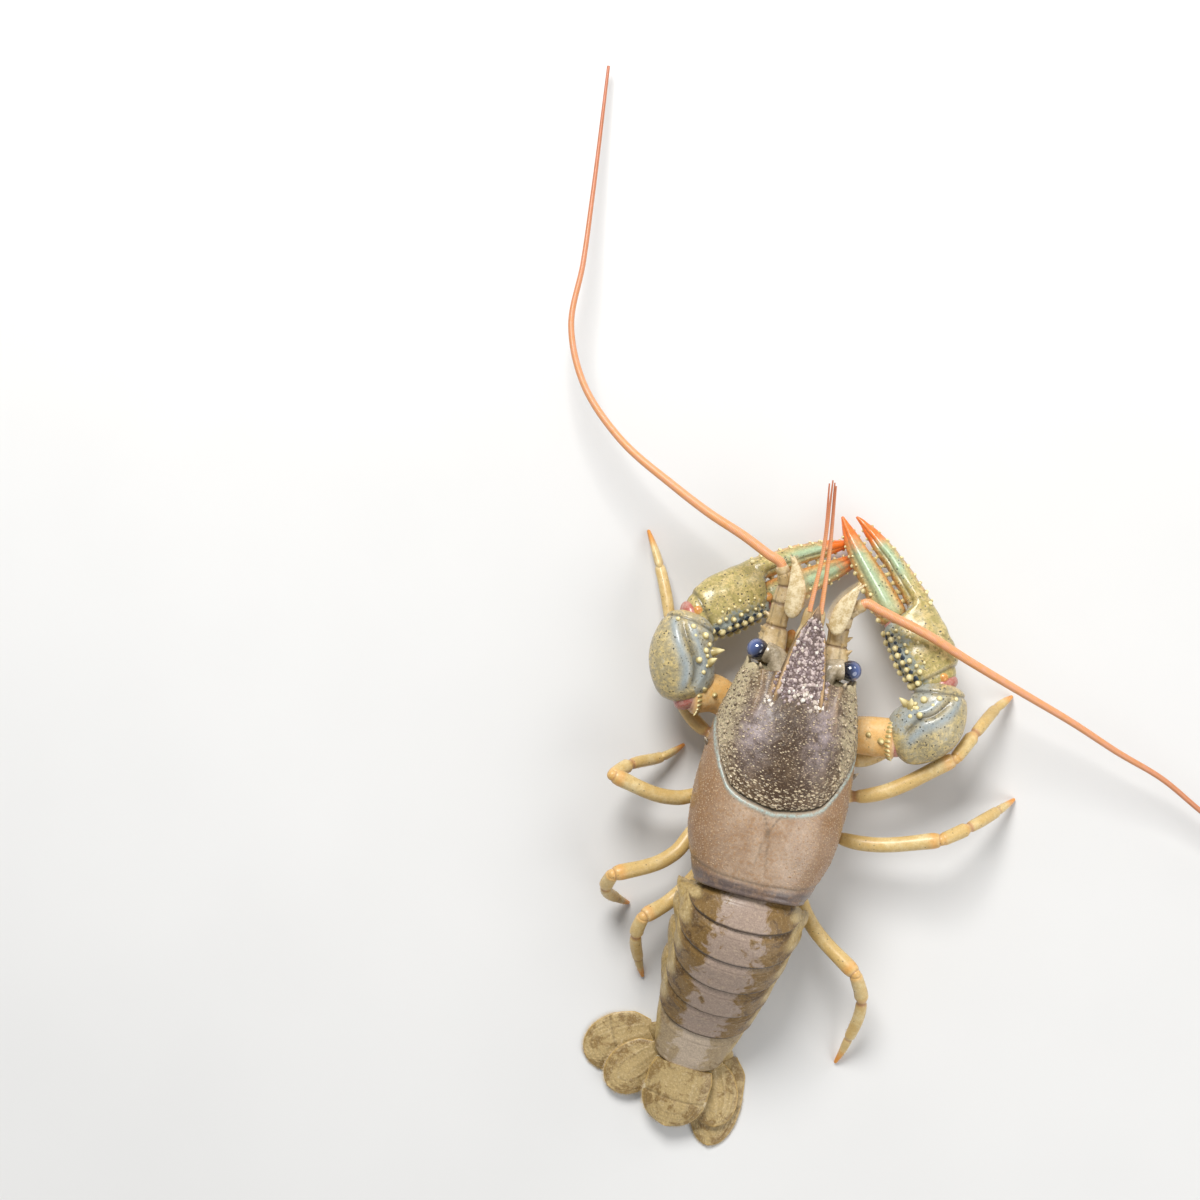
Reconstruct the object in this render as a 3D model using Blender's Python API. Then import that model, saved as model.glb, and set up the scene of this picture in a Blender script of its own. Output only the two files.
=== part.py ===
"""A small American crayfish, life size, standing still with its claws folded forward.

All sizes are in millimetres in the animal's own frame: +X is its right side, +Y runs
forward to the head, +Z is up from the floor, and the zero point lies below the middle of
the carapace's rear edge. One empty carries every piece and sets the whole model so that
the middle of its footprint is at the origin.
"""
import math

import bmesh
import bpy
import numpy as np
from mathutils import Vector

MM = 0.001
GAP = 0.3
SEED = 17
SHARP_ANGLE = math.radians(50.0)

# Carapace: knots run from the rear edge to the front edge
CARAPACE_FRONT = 35.3
CARAPACE_Y = (0.0, 4.0, 9.0, 15.0, 24.0, 31.0, 36.0)
CARAPACE_HALF_WIDTH = (9.2, 11.0, 12.3, 12.6, 12.0, 10.6, 9.2)
CARAPACE_TOP = (24.5, 25.6, 26.6, 27.0, 26.6, 25.1, 23.5)
CARAPACE_BOTTOM = (12.0, 10.0, 9.4, 9.3, 9.6, 12.0, 13.0)
CARAPACE_WIDEST = 0.40
UPPER_POWER = 2.25
LOWER_POWER = 2.7
GROOVE_Y = 13.5
GROOVE_ANGLE = (0.0, 20.0, 34.0, 46.0, 58.0, 90.0, 180.0)
GROOVE_FORWARD = (0.0, 1.0, 2.3, 5.0, 7.9, 13.0, 13.5)
FRONT_FLAP = 1.3
FRONT_FLAP_START = 29.0
FRONT_FLAP_ANGLE = (0.0, 72.0, 92.0, 108.0, 128.0, 180.0)
FRONT_FLAP_SHARE = (0.0, 0.0, 1.0, 1.0, 0.0, 0.0)
GROOVE_WIDTH = 0.7
GROOVE_DEPTH = 0.5

# Rostrum: knots run from its root in the carapace to its pointed tip
ROSTRUM_Y = (29.5, 33.0, 37.0, 42.5, 44.5, 47.1)
ROSTRUM_HALF_WIDTH = (2.6, 4.1, 3.7, 2.2, 1.2, 0.2)
ROSTRUM_TOP = (23.6, 24.3, 23.6, 22.7, 22.3, 22.1)
ROSTRUM_DEPTH = (3.6, 4.3, 3.4, 2.2, 1.4, 0.4)
ROSTRUM_RIM = 0.45
ROSTRUM_STATIONS = (29.5, 31.5, 33.5, 35.5, 37.5, 39.5, 41.5, 43.1, 44.4, 45.6, 46.5, 47.1)
# Its section, as shares of half width, of depth and of the rim's height
ROSTRUM_SECTION = ((1.0, -0.35, 0.0), (0.93, 0.0, 0.6), (0.72, 0.0, 0.5), (0.45, 0.0, -0.6),
                   (0.0, 0.0, -0.9), (-0.45, 0.0, -0.6), (-0.72, 0.0, 0.5), (-0.93, 0.0, 0.6),
                   (-1.0, -0.35, 0.0), (-0.55, -0.9, 0.0), (0.0, -1.0, 0.0), (0.55, -0.9, 0.0))

# Low ridge behind each eye, right side
EYE_RIDGE = ((5.0, 29.0, 23.9), (5.9, 32.5, 22.9), (6.4, 35.4, 21.2))
EYE_RIDGE_RADIUS = (0.35, 0.8, 0.45)

# Bumps on the head part of the carapace: rows from the neck groove forward
BUMP_ROWS = ((44.0, 20.5, 33.0, 6), (56.0, 24.0, 33.5, 5), (70.0, 28.0, 34.0, 4))
BUMP_RADIUS = 0.38
BUMP_HEIGHT = 0.38
NECK_SPINE = (82.0, 21.5, 0.45, 1.1)

# Sternum, the narrow plate between the roots of the legs
STERNUM_Y = (5.0, 12.0, 24.0, 29.0)
STERNUM_HALF_WIDTH = (2.6, 4.0, 4.2, 2.8)
STERNUM_TOP = 8.95
STERNUM_BOTTOM = 6.4

# Eyes and stalks; what grows from the front of the head starts at its face
HEAD_FACE = (0.0, 36.05, 0.0)
EYE_RADII = (1.75, 1.95, 1.8)
EYE_CENTRE = (7.75, 38.1, 18.2)
STALK_PATH = ((3.4, 36.7, 18.1), (4.6, 37.7, 18.1), (6.35, 38.05, 18.15))
STALK_RADIUS = (1.3, 1.6, 1.6)

# Abdomen: knots are the joints between carapace, six segments and telson
RIM_X = (0.0, -0.25, -0.6, -1.0, -1.4, -1.9, -2.6)
RIM_Y = (-0.9, -5.4, -11.3, -16.4, -21.2, -25.5, -32.3)
RIM_Z = (23.4, 24.0, 22.2, 18.7, 14.6, 10.4, 6.0)
RIM_PITCH = (0.0, 10.0, 28.0, 37.0, 41.0, 36.0, 20.0)
RIM_YAW = (0.0, 1.5, 3.0, 4.0, 4.5, 5.0, 4.0)
RIM_HALF_WIDTH = (8.6, 9.4, 9.9, 9.3, 8.9, 8.2, 6.0)
RIM_HEIGHT = (9.5, 10.0, 10.0, 9.5, 8.6, 7.0, 3.6)
PLEURON_DEPTH = (1.0, 4.2, 4.0, 3.8, 3.2, 0.6)
PLEURON_THICKNESS = 1.4
PLEURON_FLARE = 0.14
SWIMMERET_LENGTH = {2: 3.4, 3: 3.4, 4: 2.8, 5: 1.9}
SWIMMERET_X = 3.6
SEGMENT_STEP = 0.5

# Tail fan, flat on the floor: root, tip, half widths at the knots, thickness and crown
PLATE_THICKNESS = 0.8
TELSON_THICKNESS = 1.2
TELSON_SPINES = ((0.52, -5.15), (0.52, 5.15), (0.52, -4.2), (0.52, 4.2))
TELSON_SPINE_RADIUS = 0.42
TELSON_SPINE_HEIGHT = 1.3
TELSON_SPINE_SPLAY = 0.024
PLATE_SIDES = 10
PLATE_KNOTS = (0.0, 0.2, 0.55, 0.85, 1.0)
PLATE_ROOT_SWELL = {False: 0.0, True: 0.8}
FAN = {
    "telson": ((-2.62, -32.75, 4.6), (-3.4, -43.6, 3.1), (4.9, 5.5, 5.4, 4.2, 1.0),
               TELSON_THICKNESS, 0.4),
    "uropod_inner_l": ((-7.2, -31.6, 1.8), (-14.3, -39.6, 1.7), (1.8, 3.6, 4.2, 3.4, 0.8),
                       PLATE_THICKNESS, 0.2),
    "uropod_inner_r": ((2.4, -31.9, 1.8), (4.9, -42.3, 1.7), (1.8, 3.4, 4.1, 3.3, 0.8),
                       PLATE_THICKNESS, 0.2),
    "uropod_outer_l": ((-8.6, -29.0, 0.4), (-19.3, -35.4, 0.4), (2.0, 4.2, 4.9, 4.0, 0.9),
                       PLATE_THICKNESS, 0.2),
    "uropod_outer_r": ((4.2, -30.3, 0.4), (4.6, -45.9, 0.4), (2.0, 4.0, 4.3, 3.4, 0.8),
                       PLATE_THICKNESS, 0.2),
}
UROPOD_SOCKET = {"uropod_inner_l": (-5.6, -29.6, 3.9), "uropod_inner_r": (1.7, -29.6, 4.0),
                 "uropod_outer_l": (-6.2, -27.2, 3.9), "uropod_outer_r": (3.0, -28.2, 4.2)}

# Cheliped, named by its own joints
CHELIPED_ISCHIUM = (2.1, 2.2, 2.3)
CHELIPED_MERUS_WIDTH = (2.4, 3.2, 3.4)
CHELIPED_MERUS_HEIGHT = (2.2, 2.6, 2.9)
CARPUS_WIDTH = (3.3, 5.0, 5.4, 4.9, 3.4)
CARPUS_HEIGHT = (2.8, 3.8, 4.2, 3.9, 2.9)
PALM_S = (0.0, 2.0, 5.0, 9.0, 12.0)
PALM_OUTER = (3.2, 4.7, 5.4, 5.5, 4.9)
PALM_INNER = (3.2, 4.3, 4.7, 4.5, 4.0)
PALM_HALF_HEIGHT = (2.4, 3.1, 3.4, 3.3, 2.7)
PALM_STATIONS = (0.0, 1.0, 2.5, 4.5, 7.0, 9.5, 11.3, 12.0)
FIXED_S = (8.5, 14.0, 20.0, 27.0, 31.0)
FIXED_OFFSET = (3.3, 3.5, 3.1, 2.1, 1.2)
FIXED_HALF_WIDTH = (2.0, 1.95, 1.7, 1.15, 0.25)
FIXED_HALF_HEIGHT = (2.5, 2.3, 1.9, 1.25, 0.25)
DACTYL_S = (12.35, 14.5, 21.0, 28.0, 32.3)
DACTYL_OFFSET = (-1.4, -1.5, -1.55, -1.45, -1.0)
DACTYL_HALF_WIDTH = (2.4, 2.55, 2.2, 1.35, 0.25)
DACTYL_HALF_HEIGHT = (2.1, 2.35, 1.85, 1.2, 0.25)

CHELIPED_ROOT = {"r": ((4.6, 27.2, 8.1), (8.8, 27.2, 8.6)),
                 "l": ((-4.6, 27.2, 8.1), (-8.8, 27.6, 8.6))}
CHELIPED_MERUS = {"r": ((8.8, 27.2, 8.6), (13.0, 28.2, 10.6), (17.6, 28.8, 12.4)),
                  "l": ((-8.8, 27.6, 8.6), (-12.6, 29.2, 10.0), (-15.9, 28.4, 11.4))}
CARPUS_PATH = {"r": ((18.0, 29.0, 12.5), (23.2, 32.6, 13.0), (23.3, 38.8, 12.2)),
               "l": ((-16.6, 28.2, 11.6), (-19.4, 34.4, 12.2), (-18.8, 40.4, 10.7))}

# Bumps and teeth on the claws: angle round the limb, first and last place, count, radius
PALM_BUMPS = ((172.0, 2.2, 10.6, 6, 0.55), (140.0, 1.6, 9.8, 5, 0.48), (112.0, 3.0, 9.0, 3, 0.36))
FIXED_BUMPS = ((180.0, 0.30, 0.86, 5, 0.42), (40.0, 0.30, 0.80, 4, 0.34))
DACTYL_BUMPS = ((0.0, 0.22, 0.84, 6, 0.40), (165.0, 0.08, 0.70, 6, 0.46))
CARPUS_BUMPS = ((0.40, 150.0, 0.75, 1.5), (0.62, 165.0, 0.85, 1.9), (0.75, 125.0, 0.6, 0.9),
                (0.78, 95.0, 0.55, 0.7), (0.45, 110.0, 0.5, 0.6))
MERUS_BUMPS = ((0.60, 95.0, 0.5, 0.9), (0.78, 80.0, 0.6, 1.2), (0.35, 250.0, 0.5, 0.9),
               (0.60, 250.0, 0.6, 1.1))

# Antennae and antennules; spines of the antenna's root: place, angle, radius, height
ANTENNA_SPINES = ((0.22, 180.0, 0.5, 1.0), (0.36, 150.0, 0.5, 1.1), (0.50, 185.0, 0.45, 1.1),
                  (0.62, 0.0, 0.4, 0.8))
FLAGELLUM_BASE_RADIUS = 0.85
FLAGELLUM_TIP_RADIUS = 0.27
ANTENNA_STEM = {
    "l": ((-5.2, 36.2, 14.5), (-5.4, 41.5, 13.8), (-5.3, 47.0, 14.9), (-5.7, 50.0, 15.6),
          (-6.6, 51.6, 16.1)),
    "r": ((5.2, 36.2, 14.5), (5.0, 41.5, 13.8), (4.8, 45.0, 14.6), (5.5, 47.4, 15.6),
          (7.0, 48.7, 16.3)),
}
ANTENNA_STEM_WIDTH = (1.7, 2.3, 2.2, 1.6, 1.7, 1.35, 1.1)
ANTENNA_STEM_HEIGHT = (1.5, 1.8, 1.7, 1.35, 1.45, 1.25, 1.1)
ANTENNA_SCALE = {"l": ((-3.6, 44.6, 16.9), (-3.8, 49.2, 17.6), (-5.5, 54.3, 17.6)),
                 "r": ((3.9, 43.6, 17.0), (4.5, 47.9, 18.1), (6.2, 52.4, 18.4))}
ANTENNA_SCALE_WIDTH = (1.0, 1.6, 1.55, 0.25)
ANTENNA_SCALE_HEIGHT = (0.5, 0.5, 0.5, 0.25)
ANTENNULE_STEM = ((1.4, 36.05, 15.0), (1.35, 40.5, 16.4), (0.95, 46.8, 17.7))
ANTENNULE_STEM_RADIUS = (0.95, 1.05, 0.75)
ANTENNULE_MIDDLE = {"l": (-1.15, 56.4, 18.9), "r": (-0.15, 56.4, 18.9)}
ANTENNULE_TIPS = {"l": ((-2.9, 66.9, 18.9), (-2.7, 67.4, 20.6)),
                  "r": ((-1.5, 67.2, 19.2), (-1.4, 66.6, 20.9))}
ANTENNULE_LIFT = (-0.35, 0.45)
ANTENNULE_RADIUS = (0.4, 0.34, 0.25)

# Walking legs: upper length from the sternum to the knee, lower length from the knee to the floor
LEGS = {
    "leg2_r": (((4.6, 23.0, 7.3), (10.2, 23.2, 7.5), (15.4, 24.4, 7.4), (22.6, 33.6, 6.6)),
               ((22.6, 33.6, 6.6), (22.6, 39.5, 5.4), (16.6, 49.0, 1.6), (14.2, 52.0, 0.35))),
    "leg3_r": (((4.6, 18.5, 7.3), (10.5, 17.4, 7.6), (16.7, 18.6, 9.6), (28.6, 28.0, 12.0)),
               ((28.6, 28.0, 12.0), (31.3, 33.0, 9.6), (35.0, 38.2, 3.6), (37.4, 40.2, 0.3))),
    "leg4_r": (((4.6, 14.0, 7.3), (10.5, 11.0, 7.6), (17.6, 10.6, 9.8), (29.5, 14.4, 12.0)),
               ((29.5, 14.4, 12.0), (34.3, 17.6, 9.2), (40.0, 21.8, 2.8), (41.8, 23.3, 0.3))),
    "leg5_r": (((4.6, 9.5, 7.3), (7.6, 3.4, 7.5), (11.2, -3.6, 8.6), (20.8, -10.4, 12.0)),
               ((20.8, -10.4, 12.0), (23.6, -15.4, 8.2), (23.2, -24.0, 2.4), (22.5, -27.3, 0.3))),
    "leg2_l": (((-4.6, 23.0, 7.3), (-10.2, 22.0, 7.4), (-15.6, 24.6, 6.7), (-20.6, 32.6, 6.2)),
               ((-20.6, 32.6, 6.2), (-22.7, 40.6, 5.0), (-26.6, 49.0, 2.4), (-29.3, 53.4, 0.3))),
    "leg3_l": (((-4.6, 18.5, 7.3), (-10.2, 12.8, 7.6), (-15.1, 10.6, 9.4), (-25.8, 12.3, 12.2)),
               ((-25.8, 12.3, 12.2), (-23.4, 14.4, 8.2), (-17.4, 17.0, 2.6), (-14.9, 19.4, 0.3))),
    "leg4_l": (((-4.6, 14.0, 7.3), (-9.8, 7.6, 7.5), (-13.0, 1.2, 9.2), (-22.0, -3.6, 12.2)),
               ((-22.0, -3.6, 12.2), (-22.6, -6.8, 8.0), (-19.4, -8.6, 2.2), (-17.8, -9.0, 0.3))),
    "leg5_l": (((-4.6, 8.6, 7.3), (-6.9, 1.6, 7.4), (-11.2, -5.8, 8.2), (-15.4, -9.4, 10.8)),
               ((-15.4, -9.4, 10.8), (-15.9, -12.6, 8.4), (-14.0, -18.0, 2.4), (-12.6, -20.6, 0.3))),
}
LEG_ROOT = 4.6
LEG_BEND = 0.9
LEG_UPPER_S = (0.0, 0.13, 0.18, 0.30, 0.36, 0.46, 0.80, 1.0)
LEG_UPPER = (1.4, 1.55, 1.1, 1.25, 1.0, 1.25, 1.25, 0.95)
LEG_LOWER_S = (0.0, 0.08, 0.26, 0.31, 0.48, 0.68, 1.0)
LEG_LOWER = (0.95, 1.1, 1.1, 0.85, 0.95, 0.85, 0.38)
PINCER_LEGS = "23"
PINCER_SPAN = (0.70, 0.985)
PINCER_LIFT = 0.75
PINCER_RADIUS = (0.5, 0.55, 0.25)

# Lines of the long feelers beyond their roots
FLAGELLA = {
    "l": ((-9.5, 53.5, 16.6), (-13.8, 55.4, 16.3), (-20.3, 57.8, 15.6), (-27.1, 60.9, 14.6),
          (-37.6, 66.6, 12.6), (-45.8, 74.6, 10.4), (-49.7, 83.0, 8.6), (-50.3, 94.0, 6.6),
          (-51.4, 105.1, 4.8), (-54.0, 128.0, 2.4)),
    "r": ((10.0, 48.9, 16.8), (13.4, 48.1, 16.7), (18.6, 46.8, 16.4), (26.5, 44.2, 15.4),
          (36.3, 41.2, 13.6), (46.3, 38.2, 11.4), (55.0, 35.2, 9.4), (63.6, 32.6, 7.6),
          (72.0, 28.6, 6.0), (100.5, 17.5, 2.4)),
}

# Outer mouth limbs, right side
MAXILLIPED = ((3.0, 29.5, 9.3), (3.3, 34.0, 9.3), (3.0, 38.5, 10.0), (2.2, 42.5, 11.2))
MAXILLIPED_RADIUS = (1.3, 1.6, 1.3, 0.6)

# Surface finishes: colour, roughness
FINISHES = {
    "shell": ((0.22, 0.15, 0.11), 0.32),
    "abdomen": ((0.20, 0.145, 0.10), 0.36),
    "claw": ((0.24, 0.24, 0.12), 0.35),
    "leg": ((0.52, 0.38, 0.17), 0.40),
    "antenna": ((0.48, 0.16, 0.07), 0.42),
    "scale": ((0.62, 0.52, 0.36), 0.45),
    "eye": ((0.012, 0.013, 0.03), 0.08),
    "underside": ((0.55, 0.42, 0.26), 0.45),
}


def curve(knots, values, at):
    """Return the smooth curve through (knots, values) at the places in at.

    Each stretch is a cubic whose end slopes are the mean of the slopes beside the knot,
    and zero where these have opposite signs, so that the curve never overshoots.
    """
    knots = np.asarray(knots, float)
    values = np.asarray(values, float)
    at = np.clip(np.asarray(at, float), knots[0], knots[-1])
    steps = np.diff(knots)
    chords = np.diff(values) / steps
    slopes = np.empty_like(values)
    slopes[0], slopes[-1] = chords[0], chords[-1]
    before, after = chords[:-1], chords[1:]
    same_way = before * after > 0
    total = np.where(np.abs(before + after) < 1e-12, 1.0, before + after)
    slopes[1:-1] = np.where(same_way, 2.0 * before * after / total, 0.0)
    i = np.clip(np.searchsorted(knots, at, side="right") - 1, 0, len(steps) - 1)
    t = (at - knots[i]) / steps[i]
    h00 = (1.0 + 2.0 * t) * (1.0 - t) ** 2
    h10 = t * (1.0 - t) ** 2
    h01 = t * t * (3.0 - 2.0 * t)
    h11 = t * t * (t - 1.0)
    return (h00 * values[i] + h10 * steps[i] * slopes[i]
            + h01 * values[i + 1] + h11 * steps[i] * slopes[i + 1])


def path_curve(points, at):
    """Return points at 0..1 of the way along a smooth line through the given points."""
    points = np.asarray(points, float)
    lengths = np.linalg.norm(np.diff(points, axis=0), axis=1)
    knots = np.concatenate(([0.0], np.cumsum(lengths))) / lengths.sum()
    steps = np.diff(knots)[:, None]
    chords = np.diff(points, axis=0) / steps
    slopes = np.empty_like(points)
    slopes[0], slopes[-1] = chords[0], chords[-1]
    slopes[1:-1] = ((chords[:-1] * steps[1:] + chords[1:] * steps[:-1])
                    / (steps[1:] + steps[:-1]))
    at = np.clip(np.asarray(at, float), 0.0, 1.0)
    i = np.clip(np.searchsorted(knots, at, side="right") - 1, 0, len(steps) - 1)
    t = ((at - knots[i]) / steps[i, 0])[:, None]
    return ((1.0 + 2.0 * t) * (1.0 - t) ** 2 * points[i]
            + t * (1.0 - t) ** 2 * steps[i] * slopes[i]
            + t * t * (3.0 - 2.0 * t) * points[i + 1]
            + t * t * (t - 1.0) * steps[i] * slopes[i + 1])


def unit(vectors):
    """Return the vectors at length one."""
    vectors = np.asarray(vectors, float)
    return vectors / np.linalg.norm(vectors, axis=-1, keepdims=True)


def power_wave(value, power):
    """Return value to the power 2 / power with its sign kept, for rounded sections."""
    return np.sign(value) * np.abs(value) ** (2.0 / power)


class Tube:
    """A closed tube along a smooth path whose section is an ellipse of changing size."""

    def __init__(self, points, widths, heights=None, up=(0.0, 0.0, 1.0), knots=None):
        self.points = np.asarray(points, float)
        self.widths = np.asarray(widths, float)
        self.heights = self.widths if heights is None else np.asarray(heights, float)
        self.knots = np.linspace(0.0, 1.0, len(self.widths)) if knots is None else knots
        self.up = np.asarray(up, float)

    def frame(self, s):
        """Return the centres and the tangent, side and up directions at places s."""
        s = np.atleast_1d(np.asarray(s, float))
        step = 0.002
        ahead = path_curve(self.points, np.minimum(s + step, 1.0))
        behind = path_curve(self.points, np.maximum(s - step, 0.0))
        tangent = unit(ahead - behind)
        side = unit(np.cross(tangent, self.up))
        return path_curve(self.points, s), tangent, side, np.cross(side, tangent)

    def rings(self, s, sides):
        """Return one ring of points for each place in s."""
        s = np.atleast_1d(np.asarray(s, float))
        centre, _, side, up = self.frame(s)
        width = curve(self.knots, self.widths, s)[:, None, None]
        height = curve(self.knots, self.heights, s)[:, None, None]
        angle = (np.arange(sides) * 2.0 * math.pi / sides)[None, :, None]
        return (centre[:, None] + width * np.cos(angle) * side[:, None]
                + height * np.sin(angle) * up[:, None])

    def spot(self, s, degrees, sunk=0.0):
        """Return a surface point and its outward direction at angle degrees from the side."""
        centre, _, side, up = self.frame(s)
        width = curve(self.knots, self.widths, [s])[0]
        height = curve(self.knots, self.heights, [s])[0]
        angle = math.radians(degrees)
        point = centre[0] + width * math.cos(angle) * side[0] + height * math.sin(angle) * up[0]
        out = unit(math.cos(angle) / width * side[0] + math.sin(angle) / height * up[0])
        return point - sunk * out, out

    def solid(self, stations, sides, reach=(0.0, 0.0)):
        """Return the tube as a closed mesh object, run on straight by reach at its ends."""
        rings = self.rings(np.linspace(0.0, 1.0, stations), sides)
        _, tangent, _, _ = self.frame((0.0, 1.0))
        if reach[0] > 0.0:
            rings = np.concatenate((rings[:1] - reach[0] * tangent[0], rings))
        if reach[1] > 0.0:
            rings = np.concatenate((rings, rings[-1:] + reach[1] * tangent[1]))
        return loft(rings)


def loft(rings, start=None, end=None):
    """Return a closed mesh object through rings of points, with a centre point on each end."""
    rings = np.asarray(rings, float)
    count, sides = rings.shape[:2]
    start = rings[0].mean(axis=0) if start is None else np.asarray(start, float)
    end = rings[-1].mean(axis=0) if end is None else np.asarray(end, float)
    verts = np.concatenate((rings.reshape(-1, 3), [start, end]))
    first, last = count * sides, count * sides + 1
    faces = []
    for j in range(sides):
        k = (j + 1) % sides
        faces.append((first, k, j))
        faces.append((last, (count - 1) * sides + j, (count - 1) * sides + k))
        for i in range(count - 1):
            a, b = i * sides + j, i * sides + k
            faces.append((a, b, b + sides, a + sides))
    return mesh_object("piece", verts, faces)


def mesh_object(name, verts, faces):
    """Return a mesh object, sizes turned into metres and every face turned outwards."""
    mesh = bpy.data.meshes.new(name)
    mesh.from_pydata((np.asarray(verts, float) * MM).tolist(), [], faces)
    obj = bpy.data.objects.new(name, mesh)
    bpy.context.scene.collection.objects.link(obj)
    work = bmesh.new()
    work.from_mesh(mesh)
    bmesh.ops.recalc_face_normals(work, faces=work.faces)
    if work.calc_volume(signed=True) < 0.0:
        bmesh.ops.reverse_faces(work, faces=work.faces)
    work.to_mesh(mesh)
    work.free()
    return obj


def ellipsoid(centre, radii, rings=6, sides=12):
    """Return a closed upright ellipsoid."""
    angle = np.linspace(0.0, math.pi, rings + 2)[1:-1]
    turn = np.arange(sides) * 2.0 * math.pi / sides
    local = np.empty((rings, sides, 3))
    local[..., 0] = np.sin(angle)[:, None] * np.cos(turn) * radii[0]
    local[..., 1] = np.sin(angle)[:, None] * np.sin(turn) * radii[1]
    local[..., 2] = (np.cos(angle) * radii[2])[:, None]
    pole = np.array((0.0, 0.0, radii[2]))
    return loft(centre + local, centre + pole, centre - pole)


def across(direction):
    """Return two directions at right angles to the given one and to each other."""
    direction = unit(direction)
    helper = (0.0, 0.0, 1.0) if abs(direction[2]) < 0.9 else (1.0, 0.0, 0.0)
    side = unit(np.cross(direction, helper))
    return side, np.cross(side, direction)


def cone(point, out, radius, height, sunk=0.35, sides=4):
    """Return a spine or bump that stands on a surface point with its root sunk in."""
    side, up = across(out)
    out = unit(out)
    turn = np.arange(sides) * 2.0 * math.pi / sides
    ring = np.cos(turn)[:, None] * side + np.sin(turn)[:, None] * up
    levels = ((-sunk, 1.1), (0.5 * height, 0.75))
    rings = [point + level * out + size * radius * ring for level, size in levels]
    return loft(rings, end=point + height * out)


def cut_plane(obj, point, normal):
    """Cut away what lies on the far side of a plane and close the cut with a flat face."""
    work = bmesh.new()
    work.from_mesh(obj.data)
    result = bmesh.ops.bisect_plane(
        work, geom=work.verts[:] + work.edges[:] + work.faces[:], dist=1e-7,
        plane_co=Vector(np.asarray(point, float) * MM), plane_no=Vector(normal),
        clear_outer=True)
    edges = [e for e in result["geom_cut"] if isinstance(e, bmesh.types.BMEdge)]
    bmesh.ops.holes_fill(work, edges=edges, sides=0)
    bmesh.ops.recalc_face_normals(work, faces=work.faces)
    work.to_mesh(obj.data)
    work.free()
    return obj


def jointed(points, bend):
    """Return the points with each inner corner cut at bend on both sides of it."""
    points = np.asarray(points, float)
    ways = unit(np.diff(points, axis=0))
    corners = [(points[i] - bend * ways[i - 1], points[i] + bend * ways[i])
               for i in range(1, len(points) - 1)]
    return np.array([points[0], *(p for pair in corners for p in pair), points[-1]])


def mitre(first, second, joint, first_way, second_way):
    """Cut two limbs where they meet by the plane halfway between their directions."""
    normal = unit(unit(first_way) + unit(second_way))
    joint = np.asarray(joint, float)
    cut_plane(first, joint - GAP / 2.0 * normal, normal)
    cut_plane(second, joint + GAP / 2.0 * normal, -normal)


def keep_largest(obj):
    """Keep only the closed surface of the mesh that has the most volume."""
    work = bmesh.new()
    work.from_mesh(obj.data)
    bmesh.ops.triangulate(work, faces=work.faces)
    left = set(work.faces)
    shells = []
    while left:
        seed = left.pop()
        shell, front = [seed], [seed]
        while front:
            face = front.pop()
            for edge in face.edges:
                for other in edge.link_faces:
                    if other in left:
                        left.discard(other)
                        shell.append(other)
                        front.append(other)
        shells.append(shell)
    shells.sort(key=shell_volume, reverse=True)
    scraps = [face for shell in shells[1:] for face in shell]
    bmesh.ops.delete(work, geom=scraps, context="FACES")
    work.to_mesh(obj.data)
    work.free()


def shell_volume(faces):
    """Return the volume enclosed by a list of triangles."""
    total = 0.0
    for face in faces:
        a, b, c = (v.co for v in face.verts)
        total += a.dot(b.cross(c)) / 6.0
    return total


def node(name, finish, pieces, solver="EXACT"):
    """Join closed pieces into one named solid with its own material."""
    base, rest = pieces[0], pieces[1:]
    if rest:
        group = bpy.data.collections.new(name + "_parts")
        bpy.context.scene.collection.children.link(group)
        for piece in rest:
            bpy.context.scene.collection.objects.unlink(piece)
            group.objects.link(piece)
        union = base.modifiers.new("union", "BOOLEAN")
        union.operation = "UNION"
        union.solver = solver
        union.operand_type = "COLLECTION"
        union.collection = group
        bpy.context.view_layer.update()
        joined = base.evaluated_get(bpy.context.evaluated_depsgraph_get())
        mesh = bpy.data.meshes.new_from_object(joined)
        base.modifiers.clear()
        base.data = mesh
        for piece in rest:
            bpy.data.objects.remove(piece)
        bpy.data.collections.remove(group)
    keep_largest(base)
    base.name = name
    base.data.name = name
    base.data.materials.clear()
    base.data.materials.append(material(name, *FINISHES[finish]))
    base.data.shade_smooth()
    base.data.set_sharp_from_angle(angle=SHARP_ANGLE)
    return base


def material(name, colour, roughness):
    """Return a new material with one colour and roughness."""
    made = bpy.data.materials.new(name)
    made.use_nodes = True
    shader = made.node_tree.nodes["Principled BSDF"]
    shader.inputs["Base Color"].default_value = (*colour, 1.0)
    shader.inputs["Roughness"].default_value = roughness
    shader.inputs["Metallic"].default_value = 0.0
    return made


SIDE = {"l": -1.0, "r": 1.0}


def both_sides(points, side):
    """Return points of the right side, or their mirror image for the left side."""
    return np.asarray(points, float) * (side, 1.0, 1.0)


def carapace_section(y, angle):
    """Return surface points of the carapace at lengths y and angles from the top, in radians."""
    width = curve(CARAPACE_Y, CARAPACE_HALF_WIDTH, y)
    top = curve(CARAPACE_Y, CARAPACE_TOP, y)
    bottom = curve(CARAPACE_Y, CARAPACE_BOTTOM, y)
    middle = bottom + CARAPACE_WIDEST * (top - bottom)
    sine, cosine = np.sin(angle), np.cos(angle)
    upper = cosine >= 0.0
    x = width * np.where(upper, power_wave(sine, UPPER_POWER), power_wave(sine, LOWER_POWER))
    z = middle + np.where(upper, (top - middle) * power_wave(cosine, UPPER_POWER),
                          (middle - bottom) * power_wave(cosine, LOWER_POWER))
    return np.stack((x, np.broadcast_to(y, x.shape), z), axis=-1)


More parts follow.
